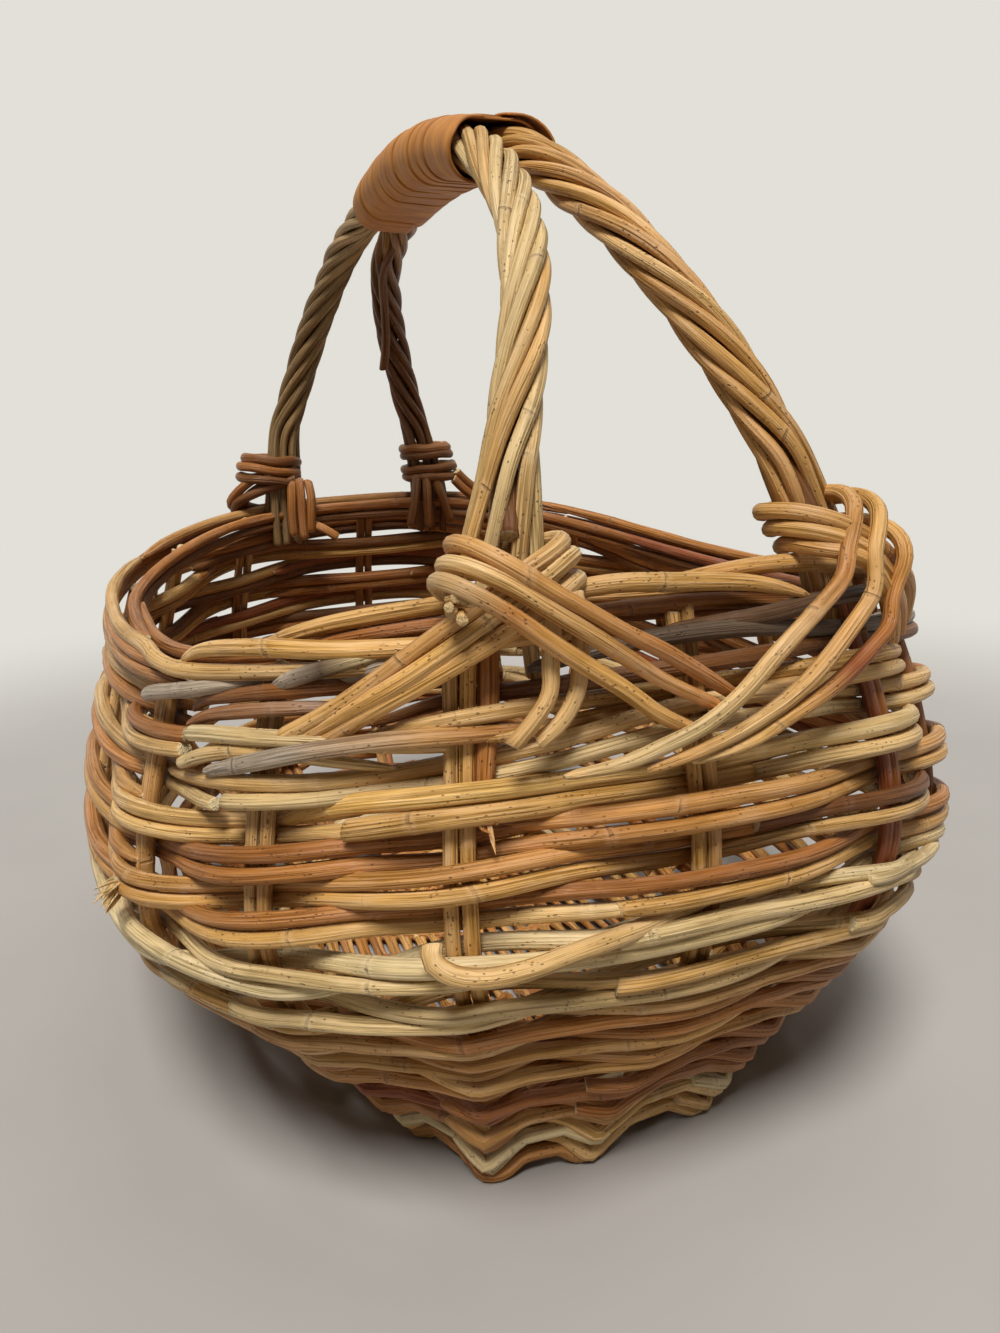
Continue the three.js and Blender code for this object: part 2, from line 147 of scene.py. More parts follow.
def wallPath(angle, height, offset, lift=0):
    centre, _, up, outward = wallFrame(angle, height)
    offset, lift = np.broadcast_arrays(offset, lift)
    return centre + outward * np.reshape(offset, (-1, 1)) + up * np.reshape(lift, (-1, 1))


def angleAtX(x, height, side):
    share = np.clip(x / wallHalf(np.asarray(float(height)), 0), -1, 1)
    return side * math.acos(float(signedPower(share, wall["cornerPower"] / 2)))


def onWall(x, height, side, offset):
    angle = angleAtX(x, height, side)
    centre, _, _, outward = wallFrame(angle, float(height))
    return centre + outward * offset


def stakeTurn(k):
    return k * fullTurn / wall["stakes"]


# A route on the wall, through stops of [place among the uprights, height, offset from the wall]
def wallRoute(stops):
    gap = wall["stakeGap"]
    route = curveThrough(np.array(stops, float) * (gap, 1, 1), 10)
    return wallPath(stakeTurn(route[:, 0] / gap), route[:, 1], route[:, 2])


# Slow drift along a rod: three waves of random pitch, together about as large as the size given
def wander(draw, places, size):
    total = np.zeros(len(places))
    for _ in range(3):
        pitch = draw.uniform(1.5, 6)
        total += np.sin(places * pitch + draw.uniform(0, fullTurn))
    return size * total / 2


# A smooth curve through points, which doesn't swing out where they lie close together
def curveThrough(points, perSpan):
    points = np.asarray(points, float)
    ext = np.vstack([2 * points[0] - points[1], points, 2 * points[-1] - points[-2]])
    made = []
    for i in range(1, len(ext) - 2):
        p = ext[i - 1:i + 3]
        gaps = np.sqrt(np.linalg.norm(np.diff(p[:, :3], axis=0), axis=1))
        t0, t1, t2, t3 = np.concatenate([[0], np.cumsum(np.maximum(gaps, 1e-6))])
        t = np.linspace(t1, t2, perSpan, endpoint=False)[:, None]
        a1 = (t1 - t) / (t1 - t0) * p[0] + (t - t0) / (t1 - t0) * p[1]
        a2 = (t2 - t) / (t2 - t1) * p[1] + (t - t1) / (t2 - t1) * p[2]
        a3 = (t3 - t) / (t3 - t2) * p[2] + (t - t2) / (t3 - t2) * p[3]
        b1 = (t2 - t) / (t2 - t0) * a1 + (t - t0) / (t2 - t0) * a2
        b2 = (t3 - t) / (t3 - t1) * a2 + (t - t1) / (t3 - t1) * a3
        made.append((t2 - t) / (t2 - t1) * b1 + (t - t1) / (t2 - t1) * b2)
    return np.vstack([*made, points[-1:]])


def bezier(a, b, c, d):
    t = np.linspace(0, 1, 60)[:, None]
    return a * (1 - t) ** 3 + 3 * b * t * (1 - t) ** 2 + 3 * c * t * t * (1 - t) + d * t ** 3


def lengthsAlong(path):
    return np.concatenate([[0], np.cumsum(np.linalg.norm(np.diff(path, axis=0), axis=1))])


def evenPath(path, spacing):
    run = lengthsAlong(path)
    places = np.linspace(0, run[-1], max(int(run[-1] / spacing), 2) + 1)
    return np.stack([np.interp(places, run, path[:, i]) for i in range(path.shape[1])], -1)


def smoothPath(path, passes):
    path = path.copy()
    for _ in range(passes):
        path[1:-1] = (path[:-2] + 2 * path[1:-1] + path[2:]) / 4
    return path


# Directions across a path, carried along it with as little turn as they can have
def carriedFrames(path):
    tangents = unit(np.gradient(path, axis=0))
    side = np.cross(tangents[0], (0.0, 0.0, 1.0))
    if np.linalg.norm(side) < 0.2:
        side = np.cross(tangents[0], (1.0, 0.0, 0.0))
    sides = np.empty_like(path)
    for i, tangent in enumerate(tangents):
        side = side - tangent * side.dot(tangent)
        side = side / np.linalg.norm(side)
        sides[i] = side
    return tangents, sides, np.cross(tangents, sides)


# A rod of cane: a ring of points every few millimetres, with joints, flat sides and cut ends
rodLook = {
    "sides": 11,
    "spacing": 2.8,
    "closest": 0.3,
    "firstJoint": 8,
    "jointEvery": (80, 190),
    "jointRings": (-1.3, -0.5, 0, 0.6, 1.6),
    "jointSwell": 0.05,
    "jointLength": 1.1,
    "lipSwell": 0.03,
    "lipLength": 9,
    "ringSlant": 0.9,
    "farFromJoint": 30.0,
    "uneven": 0.035,
    "flatness": 0.03,
    "twist": 0.8,
    "slant": 0.5,
    "slantDepth": 0.6,
    "endRound": 0.35,
    "endRim": 0.84,
    "toneDrift": 0.12,
    "toneEvery": (45, 120),
    "shade": 0.08,
    "shadeDrift": 0.06,
    "grainSpread": 400,
}


def newBundle():
    return {"points": [], "faces": [], "tint": [], "grain": [], "joint": [], "cut": [], "count": 0}


def addPoints(bundle, points, tint, grain, joint, cut):
    for key, values in (("points", points), ("tint", tint), ("grain", grain), ("joint", joint), ("cut", cut)):
        bundle[key].append(values)
    bundle["count"] += len(points)


# Faces between rings of points that follow each other from a first point
def joinRings(bundle, start, rings, count, clockwise):
    for i in range(rings - 1):
        a, b = start + i * count, start + (i + 1) * count
        for j in range(count):
            k = (j + 1) % count
            corners = (a + j, b + j, b + k, a + k) if clockwise else (a + j, a + k, b + k, b + j)
            bundle["faces"].append(corners)


# Share of the radius near an end that narrows to a tip
def endShare(distance, length, tip):
    share = np.clip(distance / length, 0, 1)
    return tip + (1 - tip) * np.sqrt(share * (2 - share))


# Where the rings of points lie along a rod, closer at its joints, and how far each is from a joint
def ringPlaces(total, draw):
    joints = []
    place = draw.uniform(rodLook["firstJoint"], rodLook["jointEvery"][0])
    while place < total - 4:
        joints.append(place)
        place += draw.uniform(*rodLook["jointEvery"])
    places = list(np.linspace(0, total, max(int(total / rodLook["spacing"]), 4) + 1))
    places += [joint + shift for joint in joints for shift in rodLook["jointRings"]]
    places = np.sort(np.clip(places, 0, total))
    places = places[np.concatenate([[True], np.diff(places) > rodLook["closest"]])]
    places[-1] = total
    fromJoint = np.full(len(places), rodLook["farFromJoint"])
    for joint in joints:
        nearer = np.abs(places - joint) < np.abs(fromJoint)
        fromJoint[nearer] = (places - joint)[nearer]
    return places, fromJoint


# Two tones come and go along a rod, and more follow each other from its start to its end
def rodTint(places, total, colours, draw):
    tones = np.array([colourOf(name) for name in colours])
    if len(tones) > 2:
        share = places / total * (len(tones) - 1) + wander(draw, places / 30, rodLook["toneDrift"])
    else:
        pitch = draw.uniform(*rodLook["toneEvery"])
        share = 0.5 + 0.5 * np.sin(places / pitch + draw.uniform(0, fullTurn))
    tint = np.stack([np.interp(share, np.arange(len(tones)), tones[:, i]) for i in range(3)], -1)
    shade = 1 + draw.uniform(-rodLook["shade"], rodLook["shade"])
    return tint * (shade * (1 + wander(draw, places / 60, rodLook["shadeDrift"])))[:, None]


# Tips are the thickness of the two ends as shares of the radius, each reached over its tip length,
# and fresh is how pale the cut ends are
def addRod(bundle, path, radius, colours, draw, tips=(1, 1), tipLength=(30, 30), fresh=1.0):
    run = lengthsAlong(path)
    total = run[-1]
    places, fromJoint = ringPlaces(total, draw)
    centres = np.stack([np.interp(places, run, path[:, i]) for i in range(3)], -1)
    tangents, sides, ups = carriedFrames(centres)
    swell = 1 + rodLook["jointSwell"] * np.exp(-(fromJoint / rodLook["jointLength"]) ** 2)
    swell += rodLook["lipSwell"] * np.exp(-np.abs(fromJoint) / rodLook["lipLength"]) * (fromJoint > 0)
    size = radius * swell * (1 + wander(draw, places / 40, rodLook["uneven"]))
    size *= endShare(places, tipLength[0], tips[0]) * endShare(total - places, tipLength[1], tips[1])

    count = rodLook["sides"]
    turn = np.linspace(0, fullTurn, count, endpoint=False)
    twist = wander(draw, places / 90, rodLook["twist"])[:, None]
    flat = 1 + rodLook["flatness"] * np.cos(2 * (turn + twist) + draw.uniform(0, fullTurn))
    flat = flat + 0.6 * rodLook["flatness"] * np.cos(3 * (turn - twist) + draw.uniform(0, fullTurn))
    reach = size[:, None] * flat
    across, up = reach * np.cos(turn), reach * np.sin(turn)
    rings = centres[:, None] + sides[:, None] * across[..., None]
    rings = rings + ups[:, None] * up[..., None]
    ends = ((0, -1), (-1, 1))
    for end, direction in ends:
        slant = rodLook["slant"] * size[end] * np.cos(turn + draw.uniform(0, fullTurn))
        shift = (slant - rodLook["slant"] * size[end])[:, None] * tangents[end] * direction
        rings[end] = rings[end] + shift * rodLook["slantDepth"]

    start = bundle["count"]
    joinRings(bundle, start, len(places), count, False)
    tint = rodTint(places, total, colours, draw)
    origin = draw.uniform(-rodLook["grainSpread"], rodLook["grainSpread"], 3)
    grain = np.stack([across, up, np.broadcast_to(places[:, None], across.shape)], -1) + origin
    aslant = rodLook["ringSlant"] * np.cos(turn + draw.uniform(0, fullTurn))
    addPoints(bundle, rings.reshape(-1, 3), np.repeat(tint, count, axis=0), grain.reshape(-1, 3),
              (fromJoint[:, None] + aslant).ravel(), np.zeros(len(places) * count))

    # Each cut end is a flat face with a softened edge
    for end, direction in ends:
        ring = rings[end]
        middle = ring.mean(axis=0)
        bulge = tangents[end] * direction * rodLook["endRound"]
        inner = middle + (ring - middle) * rodLook["endRim"] + bulge
        heart = middle + bulge * 0.6
        first = bundle["count"]
        edge = start if end == 0 else start + (len(places) - 1) * count
        for j in range(count):
            k = (j + 1) % count
            a, b = (j, k) if direction > 0 else (k, j)
            bundle["faces"].append((edge + a, edge + b, first + b, first + a))
            bundle["faces"].append((first + a, first + b, first + count))
        addPoints(bundle, np.vstack([inner, heart[None]]), np.repeat(tint[end][None], count + 1, axis=0),
                  np.vstack([grain[end], grain[end].mean(axis=0)[None]]),
                  np.full(count + 1, rodLook["farFromJoint"]), np.full(count + 1, fresh))


# Each piece rides on the one body and stands for the CAD node that it is named for
def makePiece(node, form, bundle, slotName):
    name = node + "_" + form
    mesh = bpy.data.meshes.new(name)
    points = np.vstack(bundle["points"]) * mm
    mesh.from_pydata(points.tolist(), [], bundle["faces"])
    tint = mesh.color_attributes.new("tint", "FLOAT_COLOR", "POINT")
    colour = np.ones((len(points), 4))
    colour[:, :3] = np.clip(np.vstack(bundle["tint"]), 0, 1)
    tint.data.foreach_set("color", colour.ravel())
    grain = mesh.attributes.new("grain", "FLOAT_VECTOR", "POINT")
    grain.data.foreach_set("vector", np.vstack(bundle["grain"]).ravel())
    for key in ("joint", "cut"):
        values = mesh.attributes.new(key, "FLOAT", "POINT")
        values.data.foreach_set("value", np.concatenate(bundle[key]))
    mesh.shade_smooth()
    piece = bpy.data.objects.new(name, mesh)
    bpy.context.scene.collection.objects.link(piece)
    mesh.materials.append(finishes[slotName])
    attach(piece, "root")
    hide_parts(node)


# Materials. A value goes to the node's own setting of that name, or else to its input.

def addNode(tree, kind, values=None, links=None):
    node = tree.nodes.new(kind)
    for key, value in (values or {}).items():
        if isinstance(key, str) and hasattr(node, key):
            setattr(node, key, value)
        else:
            node.inputs[key].default_value = value
    for key, source in (links or {}).items():
        socket = source if isinstance(source, bpy.types.NodeSocket) else source.outputs[0]
        tree.links.new(socket, node.inputs[key])
    return node


def startMaterial(name):
    material = bpy.data.materials.new(name)
    material.use_nodes = True
    material.node_tree.nodes.clear()
    return material, material.node_tree


# Noise drawn out along the grain, from its width and length in millimetres, and masks cut from it
def addPatterns(tree, look, grain):
    patterns = {}
    for key, (width, length, detail, roughness) in look["patterns"].items():
        scale = (1 / width, 1 / width, 1 / length)
        place = addNode(tree, "ShaderNodeMapping", {"Scale": scale}, {"Vector": grain})
        values = {"Scale": 1.0, "Detail": detail, "Roughness": roughness}
        patterns[key] = addNode(tree, "ShaderNodeTexNoise", values, {"Vector": place})
    masks = {}
    for key, (pattern, start, full) in look["masks"].items():
        values = {"From Min": start, "From Max": full}
        masks[key] = addNode(tree, "ShaderNodeMapRange", values, {"Value": patterns[pattern]})
    return patterns, masks


# Lays colours over a first one, each where its mask shows and at its strength
def addLayers(tree, colour, masks, layers):
    for key, share, layer in layers:
        factor = addNode(tree, "ShaderNodeMath", {"operation": "MULTIPLY", 1: share}, {0: masks[key]})
        if isinstance(layer, str):
            values = {"data_type": "RGBA", 7: (*hexToLinear(layer), 1)}
            mixed = addNode(tree, "ShaderNodeMix", values, {0: factor, 6: colour})
        else:
            mixed = addNode(tree, "ShaderNodeMix", {"data_type": "RGBA"}, {0: factor, 6: colour, 7: layer})
        colour = mixed.outputs[2]
    return colour


# Dried cane with its skin on: a satin skin with fine lengthwise ribs, faint broken rings at the
# joints, small dark specks, and pale open fibres where a rod is cut. The ribs also carry painted
# highlights on their crests and painted shade in the grooves between them. A pattern is the width and
# length of its noise in millimetres, its detail and its roughness. The ribs and specks of real cane
# are 0.2 to 0.4 mm wide, too fine to show in the render, so they are drawn about twice as coarse.
caneLook = {
    "patterns": {
        "ribs": (0.82, 50, 3, 0.6),
        "regions": (26, 90, 1, 0.5),
        "streaks": (1.8, 55, 4, 0.6),
        "blotches": (4.2, 17, 3, 0.55),
        "crowds": (5.0, 16, 2, 0.5),
    },
    "masks": {
        # Painted shade in the grooves between the ribs, and painted highlights on their crests
        "grooveShade": ("ribs", 0.52, 0.60),
        "ridgeHighlights": ("ribs", 0.48, 0.39),
        "ribbed": ("regions", 0.38, 0.6),
        "darkStreaks": ("streaks", 0.46, 0.72),
        "worn": ("blotches", 0.49, 0.32),
        "stains": ("blotches", 0.54, 0.74),
        "crowded": ("crowds", 0.47, 0.58),
        "broken": ("crowds", 0.42, 0.56),
    },
    # Width and length of a cell, and the distances from its middle at which a spot starts and is full
    "spots": {
        "specks": ((1.3, 2.1), (0.26, 0.13)),
        "pores": ((0.5, 4.0), (0.45, 0.1)),
    },
    # Distances from a joint at which its ring, the darker skin round it and its paler lip start
    "joints": {
        "rings": (0.6, 0.25),
        "halos": (7.0, 0.5),
        "lips": (2.4, 1.2),
    },
    "smoothGrooves": 0.3,
    "skinDark": "#5E3819",
    "ring": "#4E3019",
    "pith": "#E2CD9E",
    "lighter": {"Value": 1.12, "Saturation": 0.84},
    "darker": {"Hue": 0.492, "Value": 0.36, "Saturation": 1.15},
    "relief": 1.1,
    "roughnessRange": (-0.08, 0.14),
    "gloss": {"IOR": 1.5, "Specular IOR Level": 0.26, "Coat Weight": 0.02, "Coat Roughness": 0.38},
}


def makeCane(name, roughness, streaks, specks):
    material, tree = startMaterial(name)
    grain, tint, joint, cut = [
        addNode(tree, "ShaderNodeAttribute", {"attribute_name": key}).outputs[socket]
        for key, socket in (("grain", "Vector"), ("tint", "Color"), ("joint", "Fac"), ("cut", "Fac"))
    ]
    patterns, masks = addPatterns(tree, caneLook, grain)
    for key, ((width, length), (start, full)) in caneLook["spots"].items():
        scale = (1 / width, 1 / width, 1 / length)
        place = addNode(tree, "ShaderNodeMapping", {"Scale": scale}, {"Vector": grain})
        cells = addNode(tree, "ShaderNodeTexVoronoi", {"Scale": 1.0}, {"Vector": place})
        values = {"From Min": start, "From Max": full}
        masks[key] = addNode(tree, "ShaderNodeMapRange", values, {"Value": cells.outputs["Distance"]})
    fromRing = addNode(tree, "ShaderNodeMath", {"operation": "ABSOLUTE"}, {0: joint})
    for key, (start, full) in caneLook["joints"].items():
        values = {"From Min": start, "From Max": full}
        masks[key] = addNode(tree, "ShaderNodeMapRange", values, {"Value": fromRing})

    # Specks come in crowds, rings are broken, and some lengths are ribbed and others nearly smooth, which
    # sets how strong the painted shade in the grooves is
    smooth = caneLook["smoothGrooves"]
    values = {"operation": "MULTIPLY_ADD", 1: 1 - smooth, 2: smooth}
    ribbed = addNode(tree, "ShaderNodeMath", values, {0: masks["ribbed"]})
    for key, gate in (("specks", masks["crowded"]), ("rings", masks["broken"]), ("grooveShade", ribbed)):
        masks[key] = addNode(tree, "ShaderNodeMath", {"operation": "MULTIPLY"}, {0: masks[key], 1: gate})

    # The open end of a rod
    pith = addNode(tree, "ShaderNodeRGB")
    pith.outputs[0].default_value = (*hexToLinear(caneLook["pith"]), 1)
    pith = addLayers(tree, pith, masks, [("pores", 0.6, caneLook["skinDark"])])
    masks["cuts"] = cut

    lighter = addNode(tree, "ShaderNodeHueSaturation", caneLook["lighter"], {"Color": tint})
    darker = addNode(tree, "ShaderNodeHueSaturation", caneLook["darker"], {"Color": tint})
    colour = addLayers(tree, tint, masks, [
        ("darkStreaks", 0.55, darker),
        ("stains", 0.4, darker),
        ("worn", 0.55, lighter),
        # Painted highlights on the rib crests and painted shade in the grooves between them
        ("ridgeHighlights", 0.6 * streaks, lighter),
        ("grooveShade", 0.9 * streaks, darker),
        ("halos", 0.22, darker),
        ("lips", 0.3, lighter),
        ("rings", 0.3, caneLook["ring"]),
        ("specks", 0.8 * specks, caneLook["ring"]),
        ("cuts", 1.0, pith),
    ])
    height = addNode(tree, "ShaderNodeMath", {"operation": "MULTIPLY", 1: -1.0}, {0: patterns["ribs"]})
    for source, share in ((patterns["streaks"], -0.5), (masks["rings"], -0.4), (masks["specks"], -0.3)):
        values = {"operation": "MULTIPLY_ADD", 1: share}
        height = addNode(tree, "ShaderNodeMath", values, {0: source, 2: height})
    bump = addNode(tree, "ShaderNodeBump", {"Strength": 0.9, "Distance": caneLook["relief"] * mm},
                   {"Height": height})
    low, high = caneLook["roughnessRange"]
    values = {"From Min": 0.3, "From Max": 0.8, "To Min": roughness + low, "To Max": roughness + high}
    rough = addNode(tree, "ShaderNodeMapRange", values, {"Value": patterns["streaks"]})
    shader = addNode(tree, "ShaderNodeBsdfPrincipled", caneLook["gloss"],
                     {"Base Color": colour, "Roughness": rough, "Normal": bump})
    addNode(tree, "ShaderNodeOutputMaterial", links={"Surface": shader})
    return material


# Inner bark cut to a flat strip, soaked and wound on wet: warm orange brown, fine lines along the
# strip, a soft sheen, and painted shade that darkens the edges where the turns lap and the strip's
# inner face
barkLook = {
    "patterns": {
        "lines": (0.6, 22, 4, 0.6),
        "clouds": (5.0, 18, 3, 0.6),
    },
    "masks": {
        "light": ("clouds", 0.36, 0.66),
        "dark": ("lines", 0.52, 0.76),
        "pale": ("lines", 0.46, 0.3),
    },
    "mainColour": "#AC6C30",
    "lightColour": "#D0924C",
    "darkColour": "#663A16",
    # Where the painted shade at the lapping edges starts and is full
    "edge": (0.8, 1.0),
    "grooveDepth": 0.25,
    "roughness": (0.5, 0.64),
    "gloss": {"IOR": 1.48, "Specular IOR Level": 0.22, "Coat Weight": 0.02, "Coat Roughness": 0.4},
}


def makeBark(name):
    material, tree = startMaterial(name)
    grain = addNode(tree, "ShaderNodeAttribute", {"attribute_name": "grain"}).outputs["Vector"]
    edge = addNode(tree, "ShaderNodeAttribute", {"attribute_name": "joint"}).outputs["Fac"]
    patterns, masks = addPatterns(tree, barkLook, grain)
    # Painted shade at the edges where the turns lap, and on the inner face
    start, full = barkLook["edge"]
    masks["edges"] = addNode(tree, "ShaderNodeMapRange", {"From Min": start, "From Max": full},
                             {"Value": edge})
    main = addNode(tree, "ShaderNodeRGB")
    main.outputs[0].default_value = (*hexToLinear(barkLook["mainColour"]), 1)
    colour = addLayers(tree, main, masks, [
        ("light", 1.0, barkLook["lightColour"]),
        ("pale", 0.4, barkLook["lightColour"]),
        ("dark", 0.5, barkLook["darkColour"]),
        # Painted shade at the lapping edges
        ("edges", 0.32, barkLook["darkColour"]),
    ])
    bump = addNode(tree, "ShaderNodeBump", {"Strength": 0.6, "Distance": barkLook["grooveDepth"] * mm},
                   {"Height": patterns["lines"]})
    low, high = barkLook["roughness"]
    values = {"From Min": 0.3, "From Max": 0.7, "To Min": low, "To Max": high}
    rough = addNode(tree, "ShaderNodeMapRange", values, {"Value": patterns["clouds"]})
    shader = addNode(tree, "ShaderNodeBsdfPrincipled", barkLook["gloss"],
                     {"Base Color": colour, "Roughness": rough, "Normal": bump})
    addNode(tree, "ShaderNodeOutputMaterial", links={"Surface": shader})
    return material


# A cane's roughness, how strongly its ribs show with their painted highlights and painted shade, and how
# strongly its specks show
finishes = {
    "straw_cane": makeCane("driedCaneStraw", 0.44, 0.9, 0.8),
    "honey_cane": makeCane("driedCaneHoney", 0.44, 1.0, 0.9),
    "brown_cane": makeCane("smokedCaneBrown", 0.40, 0.8, 0.7),
    "russet_cane": makeCane("smokedCaneRusset", 0.42, 0.8, 0.7),
    "base_cane": makeCane("splitCaneBase", 0.55, 1.0, 0.5),
    "bark_strip": makeBark("woundInnerBark"),
}
print("materials made:", len(finishes))


# Uprights, two rods side by side, from the edge of the base to the rim. One pair stands a little to
# the right of its even place, as in the photograph.
stakes = {
    "rodRadius": 2.35,
    "apart": 5.0,
    "foot": 10.6,
    "top": 203.0,
    "topUneven": 2.5,
    "sway": 0.35,
    "lean": 0.15,
    "shifted": {11: 0.07},
    "threeAt": 11,
    "tones": [("honey", "tan"), ("tan", "brown"), ("brown", "straw")],
    "nearTones": {
        9: ("honey", "tan"), 10: ("straw", "tan"), 11: ("straw", "honey"), 12: ("honey", "tan"),
        13: ("russet", "brown"), 14: ("brown", "umber"),
    },
}


def buildStakes():
    for k in range(wall["stakes"]):
        draw = makeDraw("stake", k)
        bundle = newBundle()
        angle = stakeTurn(k + stakes["shifted"].get(k, 0))
        pair = stakes["nearTones"].get(k, stakes["tones"][k % 3])
        for side in (-1, 1):
            top = stakes["top"] + draw.uniform(-stakes["topUneven"], 0.5)
            heights = np.linspace(stakes["foot"], top, 90)
            centre, along, _, outward = wallFrame(angle, heights)
            shift = side * stakes["apart"] / 2 + wander(draw, heights / 50, stakes["sway"])
            lean = wander(draw, heights / 40, stakes["lean"])
            path = centre + along * shift[:, None] + outward * lean[:, None]
            radius = stakes["rodRadius"] * draw.uniform(0.92, 1.02)
            addRod(bundle, path, radius, pair if side < 0 else pair[::-1], draw)
        if k == stakes["threeAt"]:
            addThirdStake(bundle, draw)
        makePiece("stake_pair_%02d" % (k + 1), "rods", bundle, "brown_cane" if k % 3 == 1 else "honey_cane")


# A thicker third upright beside the near left foot, broken off with a splinter at its lower end
def addThirdStake(bundle, draw):
    rod = wallRoute([(11.22, 199, -2), (11.21, 180, 0), (11.19, 168, 0.5), (11.18, 158, 0.5)])
    addRod(bundle, rod, 3.1, ("brown", "copper"), draw, tips=(1, 0.8), tipLength=(10, 14))
    for shift, low in ((0.0, 146), (-0.045, 151), (0.03, 154)):
        stops = [(11.18 + shift, 160, 1.5), (11.2 + shift, 153, 4), (11.22 + shift / 3, low, 8.5)]
        splinter = wallRoute(stops)
        addRod(bundle, splinter, 0.9, ("copper", "straw"), draw, tips=(1, 0.15), tipLength=(4, 14))


# Lower rows: three thicker rods that each pass in front of two uprights and behind one. The lists
# have a value for each row from the lowest: how far a band is moved down, how straight a rod runs
# from upright to upright, how far it sags at one, and how far the row is drawn out and round to the
# pointed corner under the near left foot.
wale = {
    "rows": 9,
    "firstHeight": 13.5,
    "bandHeight": 10.6,
    "rodRadius": 2.5,
    "radiusSpread": (0.86, 1.12),
    "offset": 5.1,
    "swing": 2.95,
    "uneven": 0.9,
    "bandShift": (0, -0.9, -1.8, -2.7, 0, -0.9, -1.8, -2.7, 0),
    "straightShare": (0.95, 0.9, 0.75, 0.5, 0.3, 0.15, 0.1, 0, 0),
    "sag": (9, 8, 6, 4, 3, 2.5, 2, 1, 0),
    "cornerOut": (11, 8.5, 6, 3.5, 1.5, 0, 0, 0, 0),
    "cornerTurn": (1, 0.85, 0.65, 0.4, 0.2, 0, 0, 0, 0),
    "cornerShape": ((10, 11, 11.5, 12, 13), (0, 1, 0.5, 0.15, 0)),
    "startOut": 2.5,
    "endIn": 3,
    "laps": (0.3, 0.34),
    "upperScale": 1.1,
    "tones": [
        ("copper", "straw", "honey"), ("cream", "cream", "honey"), ("tan", "brown", "copper"),
        ("russet", "brown", "umber"), ("honey", "tan", "copper"), ("copper", "honey", "brown"),
        ("honey", "copper", "straw"), ("straw", "honey", "pale"), ("pale", "straw", "cream"),
    ],
}


# Heights that space the rows evenly along the slope of the near side, up to the first upper row
def waleHeights():
    squeeze = 1 - wall["endDip"] / wall["bellyHeight"]
    top = weavers["firstHeight"] - (weavers["pairHalf"] + wale["bandHeight"] / 2 + 0.3) / squeeze
    heights = np.linspace(wale["firstHeight"], top, 201)
    run = lengthsAlong(wallPoint(np.full(201, -math.pi / 2), heights))
    return np.interp(np.linspace(0, run[-1], wale["rows"]), run, heights) + wale["bandShift"]


# How far a rod's bends lie to the left of the uprights round the corner
def cornerShift(places, row, reach):
    shift = np.interp(places % wall["stakes"], (11 - reach, 11, 12, 12 + reach), (0, -0.2, -0.3, 0))
    return shift * wale["cornerTurn"][row]


def waleStrand(row, strand, height, u, draw):
    phase = (u - strand - row) % 3
    swing = np.where(phase < 1, -np.cos(math.pi * phase), 1)
    swing = np.where(phase > 2, np.cos(math.pi * (phase - 2)), swing)
    corner = wale["cornerOut"][row] * np.interp(u % wall["stakes"], *wale["cornerShape"])
    offset = wale["offset"] * swing + endShift(u, wale["startOut"], wale["endIn"]) + corner
    lift = wale["swing"] * np.sin(fullTurn * phase / 3) + wander(draw, u, wale["uneven"])
    before = np.floor(u)
    path, first, second = [
        wallPath(stakeTurn(places + cornerShift(places, row, reach)), height, offset, lift)
        for places, reach in ((u, 1.5), (before, 2), (before + 1, 2))
    ]
    chord = first + (second - first) * (u % 1)[:, None]
    path = path + (chord - path) * wale["straightShare"][row]
    fromStake = np.abs((u + 0.5) % 1 - 0.5) * 2
    sag = wale["sag"][row] * np.maximum(0, 1 - 1.6 * fromStake) * np.clip(swing, 0, 1)
    path[:, 2] = np.maximum(path[:, 2] - sag, wale["rodRadius"] + 0.2)
    return path


def buildWaleRow(row, height):
    draw = makeDraw("wale", row)
    bundle = newBundle()
    for strand in range(3):
        cuts = np.sort((draw.choice(5, 2, replace=False) * 3 + strand + row + 1.0) % wall["stakes"])
        cuts = np.append(cuts, cuts[0] + wall["stakes"])
        for start, end in zip(cuts[:-1], cuts[1:]):
            if end - start < 2:
                continue
            u = np.arange(start - wale["laps"][0], end + wale["laps"][1], wall["placeStep"])
            path = waleStrand(row, strand, height, u, draw)
            radius = wale["rodRadius"] * draw.uniform(*wale["radiusSpread"])
            radius *= wale["upperScale"] if row > 6 else 1
            tones = draw.permutation(wale["tones"][row])[:2]
            addRod(bundle, path, radius, tones, draw, tips=(1, 0.4), tipLength=(10, 60))
    if row == wale["rows"] - 1:
        addHook(bundle, draw)
    makePiece("wale_row_%d" % (row + 1), "rods", bundle, "brown_cane" if row % 3 == 2 else "straw_cane")


# A pale rod that comes in from the right under the near left foot and turns up at its end
def addHook(bundle, draw):
    hook = [(20, -184, 121), (0, -188, 119), (-23, -193, 117), (-37, -196, 117), (-47, -197, 116.5),
            (-61, -196, 114), (-72, -194, 113.5), (-80, -192, 115.5), (-84, -189, 119), (-83, -187, 123)]
    path = smoothPath(curveThrough(hook, 8), 2)
    addRod(bundle, path, 2.9, ("pale", "straw"), draw, tips=(0.6, 1), tipLength=(40, 6))


# Upper rows: two rods one above the other, in front of every second upright. The near side has
# rods of its own, and those of the other sides are plain, with darker tones round the right and far
# sides as painted shade.
weavers = {
    "rows": 7,
    "firstHeight": 126,
    "rowPitch": 10.6,
    "pairHalf": 5,
    "nearRange": (8.6, 14.4),
    "nearScale": 1.06,
    "nearReach": 5.5,
    "nearUneven": 0.25,
    "plainRange": (14.25, 24.75),
    "plainRadius": 3.05,
    "plainReach": 4.1,
    "plainUneven": 0.5,
    "apart": 5.15,
    "lap": 0.24,
    "leftFrom": 22.6,
    "leftTones": ["tan", "honey", "straw", "copper"],
    # Darker tones that stand for the shade on the right and far sides: painted shade
    "shadedSideTones": ["brown", "umber", "russet", "copper", "umber"],
}

